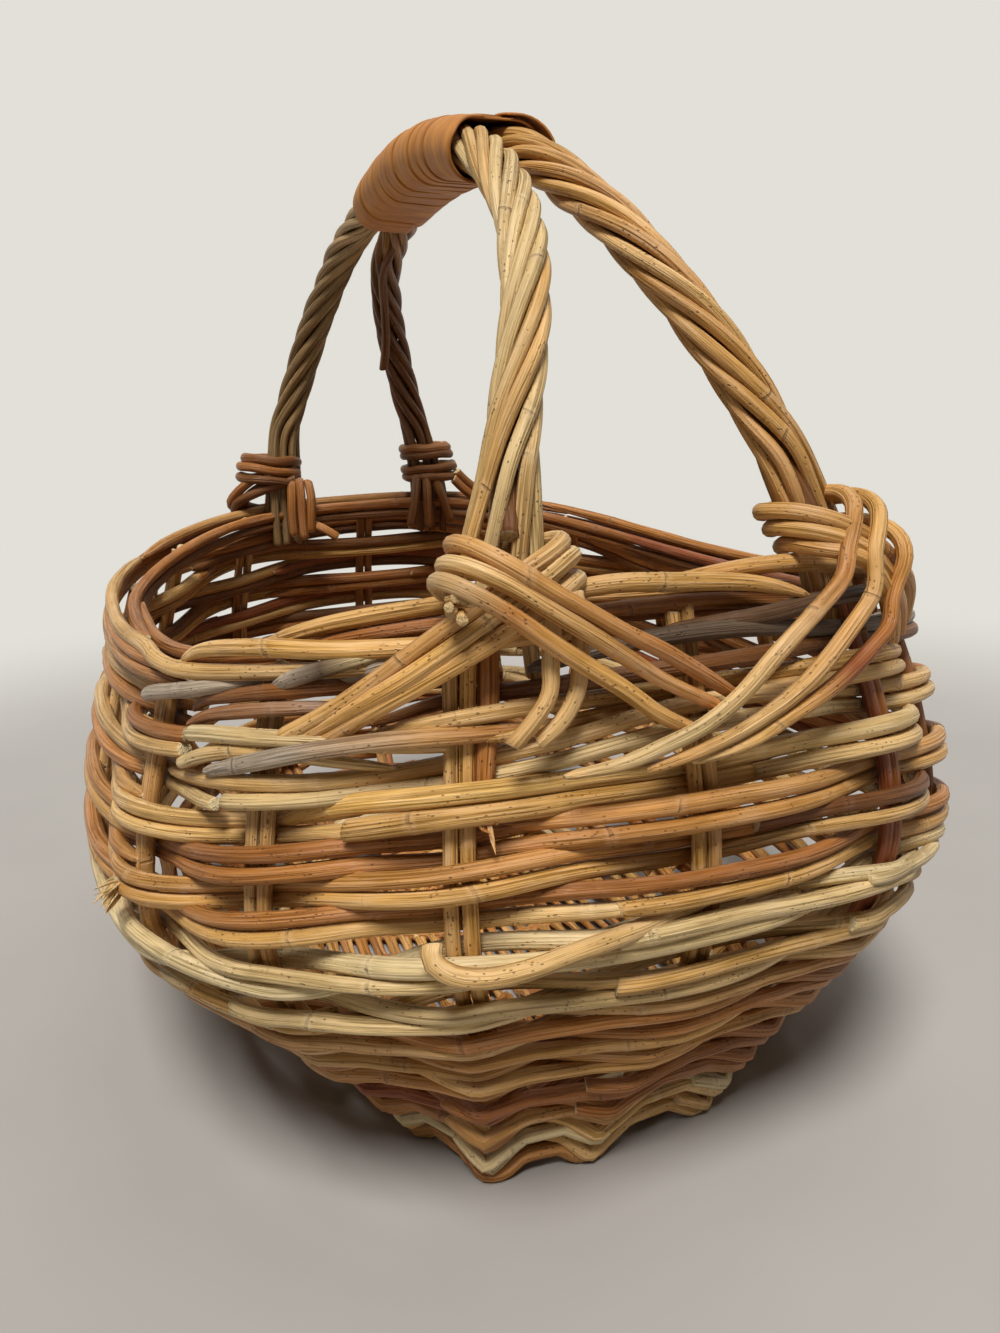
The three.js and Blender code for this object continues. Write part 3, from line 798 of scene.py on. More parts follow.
# Rods of the near side: places among the uprights with heights, colours, radius, the shape of both
# ends (share of the radius) and how far each end stands out from the row
nearRods = {
    0: [
        ([(8.4, 126), (9.7, 131), (10.5, 132), (11, 129), (11.5, 130), (12, 129), (12.6, 127), (13.4, 128.5),
          (14.5, 128.5)], ("copper", "brown"), 2.4, (0.7, 0.7), (0, 0)),
        ([(8.5, 121), (9.2, 124), (9.8, 126.3), (10.5, 126.8), (11, 123.5), (11.5, 124.3), (12, 122.6)],
         ("pale", "honey"), 2.4, (0.7, 0.5), (0, -2)),
        ([(11.7, 124.2), (12, 123.5), (12.6, 121.5), (13.2, 121), (14.5, 123.4)], ("honey", "tan"), 2.4,
         (0.9, 0.7), (1, 0)),
    ],
    1: [
        ([(8.4, 134), (8.9, 136), (9.6, 138.8), (10.2, 140), (10.8, 141.3), (11.5, 141), (12, 137),
          (12.5, 137)],
         ("tan", "copper"), 2.4, (0.7, 0.4), (0, -3)),
        ([(12.15, 138), (12.5, 139), (13, 139.5), (13.9, 139), (14.6, 139)], ("russet", "umber"), 2.5,
         (1, 0.8), (2, 0)),
        ([(8.5, 129.5), (9.2, 131.5), (9.7, 133.5), (10.4, 136), (11, 135.7), (11.5, 135.3), (12, 131.2),
          (12.3, 131.8)], ("honey", "copper"), 2.4, (0.7, 0.5), (0, -2.5)),
        ([(12, 131.6), (12.5, 133.5), (13, 134), (14, 134), (14.6, 134)], ("honey", "straw"), 2.35,
         (0.9, 0.8), (1, 0)),
    ],
    2: [
        ([(8.3, 146), (9, 147), (9.7, 149.3), (10.5, 150.4), (11, 148.8), (11.5, 149.7)], ("copper", "brown"),
         2.5, (0.7, 0.5), (0, -2)),
        ([(11.15, 150), (11.6, 150.3), (12, 149.8), (12.5, 148.5), (13.2, 149.2), (14.6, 150)],
         ("tan", "copper"), 2.55, (0.3, 0.7), (-2, 0)),
        ([(8.3, 141), (9, 142.3), (9.8, 144), (10.5, 145), (11, 142.8), (11.4, 143.6)], ("brown", "copper"),
         2.45,
         (0.7, 0.5), (0, -3)),
        ([(11.05, 143.2), (11.5, 144.3), (12, 144), (12.6, 143.2), (13.2, 144), (14.6, 144.5)],
         ("copper", "honey"), 2.45, (0.8, 0.7), (0, 0)),
    ],
    3: [
        ([(8.2, 152), (8.75, 157), (9.5, 158.4), (10, 159), (10.6, 160)], ("straw", "yellow"), 2.55,
         (0.8, 0.5),
         (0, -3)),
        ([(10.12, 158.6), (10.4, 161.4), (11, 161.9), (11.6, 160.2), (12, 158.4), (12.5, 160.2),
          (13.4, 161.4),
          (14.6, 160.5)], ("yellow", "pale"), 2.9, (0.7, 0.7), (1.5, 0)),
        ([(8.2, 149), (8.84, 152), (9.6, 153.3), (10, 154), (10.8, 155)], ("yellow", "straw"), 2.5,
         (0.8, 0.5),
         (0, -3)),
        ([(10.52, 155.2), (11, 155.8), (11.5, 155), (12, 153), (12.5, 154)], ("yellow", "honey"), 2.9,
         (1, 0.5),
         (2.6, -2)),
        ([(12.17, 153.6), (12.6, 154.6), (13.1, 155), (14.6, 155)], ("pale", "straw"), 2.6, (1, 0.7), (2, 0)),
    ],
    4: [
        ([(9.16, 170.5), (9.5, 169.6), (10.4, 168.6), (11, 169.2), (11.5, 171), (12, 175.5), (12.5, 174.5),
          (13.2, 172), (14.6, 171.3)], ("honey", "straw"), 2.45, (0.3, 0.7), (4, 0)),
        ([(8.3, 169), (8.7, 167), (9.2, 165), (9.8, 163.3)], ("honey", "pale"), 2.3, (0.7, 0.8), (0, 1.5)),
        ([(9.88, 164.4), (10.3, 164), (10.7, 164.4), (11, 164), (11.5, 165.6), (12, 170), (12.5, 169),
          (13.2, 166.5), (14.6, 166)], ("pale", "straw"), 2.4, (1, 0.7), (2.6, 0)),
        ([(8.3, 172), (8.8, 171), (9.3, 169), (9.6, 166)], ("tan", "honey"), 2.2, (0.7, 0.3), (0, -3)),
    ],
    5: [
        ([(8.3, 184), (8.9, 182.5), (9.45, 182)], ("brown", "copper"), 2.5, (0.8, 1), (0, 3)),
        ([(8.3, 178), (8.9, 177), (9.45, 177.6)], ("pale", "straw"), 2.4, (0.8, 1), (0, 3)),
        ([(10.56, 178.4), (10.8, 179.8), (11, 180.4), (11.3, 180.8), (11.8, 180.6), (12.4, 181.3),
          (13.2, 182),
          (14.6, 182)], ("honey", "straw"), 2.45, (0.3, 0.7), (-1, 0)),
        ([(11.2, 174.5), (11.6, 175.6), (12.1, 176.8), (13, 177), (14.6, 177)], ("straw", "honey"), 2.4,
         (0.4, 0.7), (0, 0)),
    ],
    6: [
        ([(9.42, 189), (9.54, 191.8), (9.8, 193), (10.3, 193), (10.75, 192.4), (11.3, 191)],
         ("brown", "umber"),
         2.35, (0.3, 0.7), (4, -4)),
        ([(9.34, 184.2), (9.55, 187.6), (9.8, 188.5), (10.3, 188), (10.6, 187)], ("brown", "grey"), 2.35,
         (0.3, 0.4), (4, -3)),
        ([(10.6, 182.6), (10.8, 184.3), (11, 185.6), (11.5, 185.6), (12, 186.3), (12.5, 187), (13.2, 187.4),
          (14.6, 187)], ("umber", "brown"), 2.4, (0.3, 0.7), (-2, 0)),
        ([(11.4, 191), (11.65, 193), (12, 194.6), (12.3, 194), (12.7, 192.4), (13.4, 192), (14.6, 192.3)],
         ("grey", "ash"), 2.7, (0.4, 0.7), (0, 0)),
        ([(8.3, 192), (8.8, 190), (9.3, 190.5)], ("brown", "tan"), 2.3, (0.7, 0.5), (0, -2)),
        ([(8.3, 187), (8.8, 185.5), (9.35, 184.4)], ("brown", "umber"), 2.3, (0.7, 0.5), (0, -2)),
    ],
}
# Loose lengths of the near side, that lie over the uprights: stops of [place, height, offset]
looseRods = {
    5: [
        ([(9.5, 182.4, 5.7), (9.75, 182.3, 7.5), (10.05, 181, 8), (10.4, 179, 8), (10.8, 175.5, 4),
          (11.1, 173, -1)],
         ("cream", "pale", "pale", "straw"), 2.55, (1, 0.3)),
        ([(9.68, 172, 6), (10.07, 174.5, 9), (10.45, 176.5, 10.5), (10.8, 177, 8.5), (11.15, 176, 4.5),
          (11.5, 175, -1)],
         ("grey", "grey", "tan", "brown"), 2.6, (0.5, 0.5)),
        ([(9.42, 173.5, 5), (9.64, 176.3, 6), (9.9, 177.6, 6.5), (10.13, 177, 6), (10.45, 173.5, 3),
          (10.75, 170, -2)],
         ("pale", "straw", "pale"), 2.35, (0.7, 0.2)),
    ],
    6: [
        ([(8.98, 191.5, 6), (9.15, 193, 8), (9.45, 194.5, 8), (9.72, 196, 5), (9.95, 196.5, 0)],
         ("grey", "grey"), 2.6,
         (0.9, 0.5)),
        ([(10.02, 194, 2), (10.2, 196, 6.5), (10.5, 198.5, 7), (10.8, 201, 5)],
         ("ash", "grey", "ash", "cream", "ash"), 2.8,
         (0.5, 0.5)),
    ],
}
# Spans between uprights at which a rod of the other sides ends, for the upper and the lower rod
plainJoins = [((18, 22), (16, 20)), ((17, 21), (19, 23)), ((16, 21), (18, 23)), ((19, 22), (17, 20)),
              ((16, 20), (18, 22)), ((18, 21), (16, 23)), ((17, 22), (19, 21))]


# Moves a rod's start out from the row and its end in behind it
def endShift(u, outAtStart, inAtEnd):
    reach = 0.4
    start = np.clip(1 - (u - u[0]) / reach, 0, 1)
    end = np.clip(1 - (u[-1] - u) / reach, 0, 1)
    return outAtStart * start * start * (3 - 2 * start) - inAtEnd * end * end * (3 - 2 * end)


def addRowRod(bundle, row, u, height, radius, tones, draw, ends, tips, reach):
    offset = reach * np.cos(math.pi * (u + row))
    offset = offset + endShift(u, ends[0], -ends[1])
    blunt = 0.85
    lengths = (12 if tips[0] > blunt else 45, 12 if tips[1] > blunt else 50)
    addRod(bundle, wallPath(stakeTurn(u), height, offset), radius, tones, draw, tips=tips, tipLength=lengths)


def buildWeaverRow(row):
    draw = makeDraw("weaver", row)
    bundle = newBundle()
    nearFrom, nearTo = weavers["nearRange"]
    for stops, tones, radius, tips, ends in nearRods[row]:
        # A rod that goes on round the side narrows and ends behind the next
        if stops[0][0] < nearFrom:
            tips, ends = (0.5, tips[1]), (-3, ends[1])
        if stops[-1][0] > nearTo:
            tips, ends = (tips[0], 0.4), (ends[0], -3.5)
        flat = np.array(stops, float) * (wall["stakeGap"], 1) @ np.eye(2, 3)
        route = curveThrough(flat, 10)
        u = np.arange(stops[0][0], stops[-1][0], wall["placeStep"])
        height = np.interp(u, route[:, 0] / wall["stakeGap"], route[:, 1])
        height = height + wander(draw, u, weavers["nearUneven"])
        radius = radius * weavers["nearScale"]
        addRowRod(bundle, row, u, height, radius, tones, draw, ends, tips, weavers["nearReach"])
    for stops, tones, radius, tips in looseRods.get(row, []):
        addRod(bundle, wallRoute(stops), radius, tones, draw, tips=tips, tipLength=(30, 50))

    middle = weavers["firstHeight"] + weavers["rowPitch"] * row
    plainFrom, plainTo = weavers["plainRange"]
    for level, joins in zip((1, -1), plainJoins[row]):
        edges = [plainFrom, *[join + 0.5 for join in joins], plainTo]
        for start, end in zip(edges[:-1], edges[1:]):
            u = np.arange(start - weavers["lap"], end + weavers["lap"], wall["placeStep"])
            height = middle + level * weavers["apart"] / 2 + wander(draw, u, weavers["plainUneven"])
            # Rods at the left side take the plain tones, and those round the right and far sides the darker
            # painted-shade tones
            choice = weavers["leftTones"] if end > weavers["leftFrom"] else weavers["shadedSideTones"]
            tones = draw.permutation(choice)[:2]
            radius = weavers["plainRadius"] * draw.uniform(0.94, 1.05)
            reach = weavers["plainReach"]
            addRowRod(bundle, row, u, height, radius, tones, draw, (1.6, -3), (0.8, 0.45), reach)
    if row == 0:
        addTuft(bundle, draw)
    makePiece("weaver_row_%d" % (row + 1), "rods", bundle, "brown_cane" if row % 2 == 0 else "straw_cane")


# Frayed end of a rod at the left of the belly
def addTuft(bundle, draw):
    root = np.array((-153.0, -80.0, 112.0))
    stub = np.array([root + (5, 0, 1), root + (1, -2, 0), root + (-5, -5, -1)])
    addRod(bundle, stub, 2.3, ("straw", "tan"), draw)
    for _ in range(16):
        tip = root + (draw.uniform(-13, -8), draw.uniform(-16, -3), draw.uniform(-9, 3))
        middle = (root + tip) / 2 + draw.uniform(-1.5, 1.5, 3)
        fibre = curveThrough([root + (-3, -4, -1) + draw.uniform(-1.2, 1.2, 3), middle, tip], 4)
        addRod(bundle, fibre, draw.uniform(0.35, 0.7), ("pale", "straw"), draw, tips=(1, 0.2),
               tipLength=(3, 8))


# Border: long rods outside and inside the tops of the uprights, lapping with pointed ends.
# Stops are [place among the uprights, height, offset from the wall], then come the tones, the
# radius and the thickness of both ends.
borderRods = {
    "border_outer_rods": [
        ([(9.36, 203, 7), (9.56, 206, 8), (10, 205.5, 8), (10.5, 202, 7), (11, 200, 6), (11.6, 199, 5),
          (11.8, 199, 3)], ("straw", "honey", "honey", "copper"), 2.75, (0.25, 0.5)),
        ([(6.6, 206, 5), (7.4, 208, 6), (8.2, 208, 7), (8.9, 206, 7), (9.1, 203, 8), (9.35, 200.5, 8),
          (9.9, 199.2, 5.6), (10.4, 197.6, 5), (10.9, 196, 3)], ("honey", "straw"), 2.6, (0.4, 0.5)),
        ([(11.25, 209, 2), (11.6, 210, 5), (11.8, 210.3, 6), (12.03, 208.5, 6), (12.26, 206, 6.5),
          (12.5, 201.5, 7)], ("honey", "copper"), 2.9, (0.6, 0.25)),
        ([(11.98, 210, 1), (12.2, 211.3, 3), (12.55, 211.6, 3.5), (12.9, 210, 3), (13.4, 207, 5),
          (14.1, 205, 6),
          (15, 204, 6)], ("honey", "brown"), 2.7, (0.3, 0.5)),
        ([(11.95, 196.6, 3), (12.24, 197, 5.5), (12.63, 200, 6), (13.1, 201, 6), (13.8, 200, 6),
          (14.6, 199.5, 6)],
         ("ash", "umber"), 2.8, (0.3, 0.5)),
        ([(14.1, 200, 6), (15, 198, 6), (16, 198, 5.6), (17, 198, 5.6), (18.2, 199, 5.6)], ("brown", "umber"),
         2.6,
         (0.3, 0.4)),
        ([(14.6, 205, 5), (15.4, 203.5, 6), (16.4, 203, 5.6), (17.6, 204, 5.6), (18.4, 206, 4)],
         ("brown", "copper"), 2.7, (0.3, 0.3)),
        ([(17.5, 199, 6), (18.6, 197.6, 5.6), (20, 197.6, 5.6), (21.4, 198.5, 5.6), (22.4, 199, 6)],
         ("copper", "brown"), 2.6, (0.3, 0.4)),
        ([(18, 204, 4), (19, 203.4, 6), (20.2, 203, 5.6), (21.4, 203.6, 5.6), (22.6, 206.5, 4)],
         ("brown", "tan"),
         2.7, (0.3, 0.3)),
        ([(21.6, 198, 6), (22.6, 198, 6), (23.6, 198.6, 6), (24.4, 199, 6.5), (25.1, 197.5, 5),
          (25.4, 195, 2)],
         ("brown", "tan"), 2.6, (0.3, 0.4)),
        ([(21.8, 203, 6), (22.8, 203, 6), (23.7, 203, 6), (24.5, 203.6, 6.5), (25.1, 201.5, 6),
          (25.35, 199, 3)],
         ("brown", "copper"), 2.6, (0.3, 0.4)),
    ],
    "border_inner_rods": [
        ([(9.9, 206, 2), (10.05, 207.6, 4), (10.33, 210, 3), (10.67, 211, 0), (11.1, 211, -4),
          (11.8, 208, -5.6),
          (12.6, 206, -5.6)], ("honey", "tan"), 2.6, (0.3, 0.4)),
        ([(10.3, 205.5, 2), (10.66, 206, 0), (11, 206, -4), (11.7, 203, -5.6), (12.6, 201, -5.6),
          (13.6, 200, -5.6)],
         ("brown", "russet"), 2.5, (0.3, 0.4)),
        ([(11.5, 204, 0.5), (12, 203.4, -0.5), (12.4, 201.6, -3), (13, 201, -5.6), (14, 200, -5.6)],
         ("umber", "brown"), 2.5, (0.3, 0.4)),
        ([(12.9, 205, -5.6), (14, 204, -5.6), (15.2, 203, -5.6), (16.6, 203, -5.6), (17.6, 204, -5.6)],
         ("umber", "russet"), 2.6, (0.3, 0.3)),
        ([(13.5, 198, -5.6), (14.8, 197.6, -5.6), (16, 198, -5.6), (17.4, 198, -5.6)], ("brown", "umber"),
         2.6,
         (0.3, 0.3)),
        ([(16.8, 203.4, -5.6), (18, 203, -5.6), (19.2, 204, -5.6), (20.6, 203, -5.6), (21.6, 204, -5.6)],
         ("brown", "umber"), 2.7, (0.3, 0.3)),
        ([(17, 198.6, -5.6), (18.4, 198, -5.6), (20, 198, -5.6), (21.6, 198.6, -5.6)], ("umber", "brown"),
         2.6,
         (0.3, 0.3)),
        ([(20.8, 204.5, -5.6), (22, 204, -5.6), (23.2, 205, -4), (24.2, 207.6, 0), (24.7, 208, 3)],
         ("brown", "copper"), 2.7, (0.3, 0.4)),
        ([(21, 198, -5.6), (22.4, 198.6, -5.6), (23.8, 200, -5.6), (25, 201, -5.6), (26.2, 201, -5.6)],
         ("brown", "umber"), 2.6, (0.3, 0.4)),
        ([(23.6, 205, -6), (24.6, 205.6, -5.6), (25.6, 205, -5.6), (26.4, 204, -5.6), (27.4, 203, -5.6)],
         ("brown", "copper"), 2.5, (0.3, 0.4)),
        ([(24.8, 196, -5), (25.6, 196, -5), (26.4, 195.5, -1), (26.42, 195.5, -1), (26.67, 197, 4.5),
          (26.9, 199, 2)], ("ash", "grey"), 2.8, (0.4, 0.6)),
    ],
}


def buildBorder():
    for name, rods in borderRods.items():
        draw = makeDraw(name)
        bundle = newBundle()
        for stops, tones, radius, tips in rods:
            addRod(bundle, wallRoute(stops), radius, tones, draw, tips=tips, tipLength=(45, 50))
        slotName = "honey_cane" if name == "border_outer_rods" else "russet_cane"
        makePiece(name, "lengths", bundle, slotName)


# Handle: two bows, each seven rods twisted round one in the middle. What differs from leg to leg is
# set by side, -1 for the left bow and 1 for the right, and by -1 for a near leg and 1 for a far one.
# The ends of the rods lie outside or inside the wall, each at a height and an offset from it. A rod
# is cut off short on the right far leg, through stops of [height on the leg, how far left, how far up].
bows = {
    "bundleRadius": 8,
    "rodRadius": 2.24,
    "rods": 7,
    "twistLength": 118,
    "centreX": 8.15,
    "nearFoot": (49.5, 166, 225),
    "farFoot": (45, 167, 225),
    "gripHeight": 341,
    "gripArch": 9,
    "gripHalf": 70,
    "gripOffsetX": -9,
    "nearFromFoot": (-8.7, -21, 39),
    "nearToGrip": (7.15, -13, -40),
    "farFromFoot": (-19.6, -4, 59),
    "farToGrip": (7.95, -44, -12),
    "lean": (0, 0.3, 0.8, 1),
    "splay": (2.15, 1.6),
    "footShift": {(-1, -1): 4.5, (1, -1): 13, (-1, 1): 2, (1, 1): -7},
    "farShift": {-1: (5, 325, 90), 1: (8, 340, 18)},
    # Darker tones on the far legs of the bows as painted shade
    "farLegShade": {-1: "shadeDun", 1: "umber"},
    "outerEnd": (201, 1.5),
    "innerEnd": (188, -9.5),
    "rimPass": 209,
    "opening": (0.35, 0.25),
    "openingLength": 14,
    "cutRod": ((336, 1, -2), (322, 2.5, -2), (308, 3.5, -3), (294, 5.5, -5), (281, 9.5, -7)),
}


def legLine(side, direction):
    foot = bows["nearFoot"] if direction < 0 else bows["farFoot"]
    fromFoot = bows["nearFromFoot"] if direction < 0 else bows["farFromFoot"]
    toGrip = bows["nearToGrip"] if direction < 0 else bows["farToGrip"]
    grip = (bows["centreX"], bows["gripHalf"], bows["gripHeight"])
    starts = (foot, foot, (grip[0], foot[1], grip[2]), grip)
    reaches = ((0, 0, 0), fromFoot, toGrip, (0, 0, 0))
    corners = []
    for start, reach, lean in zip(starts, reaches, bows["lean"]):
        x, y, z = (a + b for a, b in zip(start, reach))
        corners.append(np.array((side * x + lean * bows["gripOffsetX"], direction * y, z)))
    return bezier(*corners)


def gripLine(y):
    y = np.asarray(y, float)
    rise = bows["gripArch"] * (1 - (y / bows["gripHalf"]) ** 2)
    return np.stack([np.full_like(y, bows["gripOffsetX"]), y, bows["gripHeight"] + rise], -1)


def shiftedFarLeg(side):
    leg = legLine(side, 1)
    amount, top, over = bows["farShift"][side]
    leg[:, 0] -= amount * np.clip((top - leg[:, 2]) / over, 0, 1)
    return leg


def bowLine(side):
    grip = gripLine(np.linspace(-0.85, 0.85, 40) * bows["gripHalf"])
    grip[:, 0] += side * bows["centreX"]
    line = np.vstack([legLine(side, -1), grip, shiftedFarLeg(side)[::-1]])
    return smoothPath(evenPath(line, 2.5), 12)


def splayedEnd(spread, side, direction, inner):
    foot = bows["nearFoot"] if direction < 0 else bows["farFoot"]
    footX = side * (foot[0] + bows["footShift"][side, direction])
    height, offset = bows["innerEnd"] if inner else bows["outerEnd"]
    low = onWall(footX + spread, height, direction, offset)
    mid = onWall(footX + spread * 0.95, bows["rimPass"], direction, offset * 0.55)
    return np.vstack([low, mid])


def buildBow(name, side, hand, tones, slotName):
    draw = makeDraw(name)
    line = bowLine(side)
    run = lengthsAlong(line)
    _, sides, ups = carriedFrames(line)
    bundle = newBundle()
    opened = 1 + bows["opening"][0] * np.exp(-run / bows["openingLength"])
    opened += bows["opening"][1] * np.exp(-(run[-1] - run) / bows["openingLength"])
    ringRadius = bows["bundleRadius"] - bows["rodRadius"]
    for i in range(bows["rods"]):
        turn = i * fullTurn / bows["rods"] + hand * fullTurn * run / bows["twistLength"]
        turn = turn + wander(draw, run / 90, 0.09)
        reach = ringRadius * (1 + wander(draw, run / 60, 0.06))
        helix = line + sides * (reach * opened * np.cos(turn))[:, None]
        helix = helix + ups * (reach * opened * np.sin(turn))[:, None]
        ends = []
        for direction, at in ((-1, 8), (1, -9)):
            across = helix[at, 0] - line[at, 0]
            inner = (helix[at, 1] - line[at, 1]) * direction < -1
            ends.append(splayedEnd(across * bows["splay"][direction > 0], side, direction, inner))
        path = np.vstack([ends[0], helix[8:-8], ends[1][::-1]])
        path = smoothPath(evenPath(path, 2.0), 14)
        first, second = tones[i % len(tones)], tones[(i + 1 + i // 3) % len(tones)]
        # Towards its far end each rod goes over into its bow's painted-shade tone
        colours = (first, second, first, bows["farLegShade"][side], bows["farLegShade"][side])
        addRod(bundle, path, bows["rodRadius"] * draw.uniform(0.92, 1.05), colours, draw)
    addRod(bundle, line, bows["rodRadius"] * 1.15, ("umber", "umber"), draw)
    if side > 0:
        leg = shiftedFarLeg(1)
        stops = [leg[np.argmin(abs(leg[:, 2] - z))] + (-away, -7.5, drop)
                 for z, away, drop in bows["cutRod"]]
        cutRod = curveThrough(stops, 6)
        addRod(bundle, cutRod, 2.3, ("umber", "brown"), draw, tips=(0.5, 1))
    makePiece(name, "twisted_rods", bundle, slotName)


# Grip: one long strip of bark wound round both bows, each turn lapping the last
grip = {
    "length": 131,
    "turns": 13,
    "stripWidth": 17.0,
    "thickness": 0.8,
    "inner": 8.35,
    "lapRise": 0.7,
    "lapSlant": 1.6,
    "bulge": 1.3,
    "stepsPerTurn": 60,
    "endBandTurns": 1.12,
    "endBandWidth": 27,
    "endBandFlare": 0.3,
    "endBandStart": 0.32,
    "endBandBack": ((0, 0.2, 0.33, 0.46, 0.6, 0.85, 1), (13, 17, 16, 6, 0, 3, 13)),
    "flapSteps": 16,
    "flapWidth": 15,
}

bowLines = [bowLine(side) for side in (-1, 1)]


# The middle of the two bows, which the strip follows as they turn down at its ends
def gripCentre(y):
    heights = [np.interp(y, line[:, 1], line[:, 2]) for line in bowLines]
    return np.array((bows["gripOffsetX"], float(y), float(np.mean(heights))))


def stadium(share, reach):
    straight = 2 * bows["centreX"]
    arc = math.pi * (bows["bundleRadius"] + 1)
    total = 2 * (straight + arc)
    place = (share % 1) * total
    if place < arc:
        turn = -math.pi / 2 + place / arc * math.pi
        return bows["centreX"] + reach * math.cos(turn), reach * math.sin(turn)
    place -= arc
    if place < straight:
        return bows["centreX"] - place, reach
    place -= straight
    if place < arc:
        turn = math.pi / 2 + place / arc * math.pi
        return -bows["centreX"] + reach * math.cos(turn), reach * math.sin(turn)
    place -= arc
    return -bows["centreX"] + place, -reach


# A flat strip through turns of [share of a turn, middle along the grip, width scale, rise]
def addStrip(bundle, turns, draw, width, rise, slope=1.0):
    across = np.linspace(-1, 1, 9)
    rings, grains, edges = [], [], []
    origin = draw.uniform(-300, 300, 3)
    run = 0.0
    for share, middle, scale, lift in turns:
        ring = []
        for layer in (1, 0):
            for a in (across if layer else across[::-1]):
                reach = grip["inner"] + lift + rise * (0.5 - 0.5 * a * slope)
                reach += 0.25 * (1 - a * a) + grip["thickness"] * layer
                reach += grip["bulge"] * (1 - (2 * middle / grip["length"]) ** 2)
                x, z = stadium(share, reach)
                point = gripCentre(middle + a * width * scale / 2)
                ring.append(point + (x, 0, z))
                # How near a point is to the strip's edge, full on its inner face, for the painted shade of
                # the laps
                edges.append(abs(a) if layer else 1.0)
        if rings:
            run += np.linalg.norm(ring[4] - rings[-1][4])
        grains += [(a * width / 2, 0, run) for a in (*across, *across[::-1])]
        rings.append(np.array(ring))
    start, count = bundle["count"], 2 * len(across)
    joinRings(bundle, start, len(rings), count, True)
    last = start + (len(rings) - 1) * count
    bundle["faces"].append(tuple(start + j for j in range(count)))
    bundle["faces"].append(tuple(last + j for j in reversed(range(count))))
    total = count * len(rings)
    addPoints(bundle, np.vstack(rings), np.full((total, 3), 0.3), np.array(grains) + origin,
              np.array(edges), np.zeros(total))


def buildGrip():
    draw = makeDraw("grip")
    bundle = newBundle()
    turns = grip["turns"]
    places = np.linspace(0, turns - 1, int(turns * grip["stepsPerTurn"]))
    middles = (places / (turns - 1) - 0.5) * (grip["length"] - grip["stripWidth"])
    middles = middles + wander(draw, places * 1.3, 1.3) + grip["lapSlant"] * np.sin(fullTurn * places + 1)
    scales = 1 + wander(draw, places * 0.9, 0.12)
    lifts = wander(draw, places * 2, 0.18)
    addStrip(bundle, zip(places, middles, scales, lifts), draw, grip["stripWidth"], grip["lapRise"])

    # The first turn at the near end is a broad band that leaves the top of the right bow free
    width = grip["endBandWidth"]
    bandRows = []
    for s in np.linspace(0, grip["endBandTurns"], int(grip["stepsPerTurn"] * 1.3)):
        share = s + grip["endBandStart"]
        back = float(np.interp(share % 1, *grip["endBandBack"]))
        near = -grip["length"] / 2 - 4 + 3 * s + back
        far = -grip["length"] / 2 + width + 2 * math.sin(7 * s)
        bandRows.append((share, (near + far) / 2, (far - near) / width, 0.6 + 0.4 * s))
    addStrip(bundle, bandRows, draw, width, grip["endBandFlare"])

    # The end of the strip is tucked over the right bow
    flap = []
    for s in np.linspace(0, 1, grip["flapSteps"]):
        middle = -grip["length"] / 2 + 10 - 12 * s
        flap.append((0.34 - 0.3 * s, middle, 1 - 0.4 * s * s, 1.9 + 0.9 * math.sin(math.pi * s)))
    addStrip(bundle, flap, draw, grip["flapWidth"], grip["lapRise"], 0.5)
    makePiece("grip_wrap", "strip", bundle, "bark_strip")


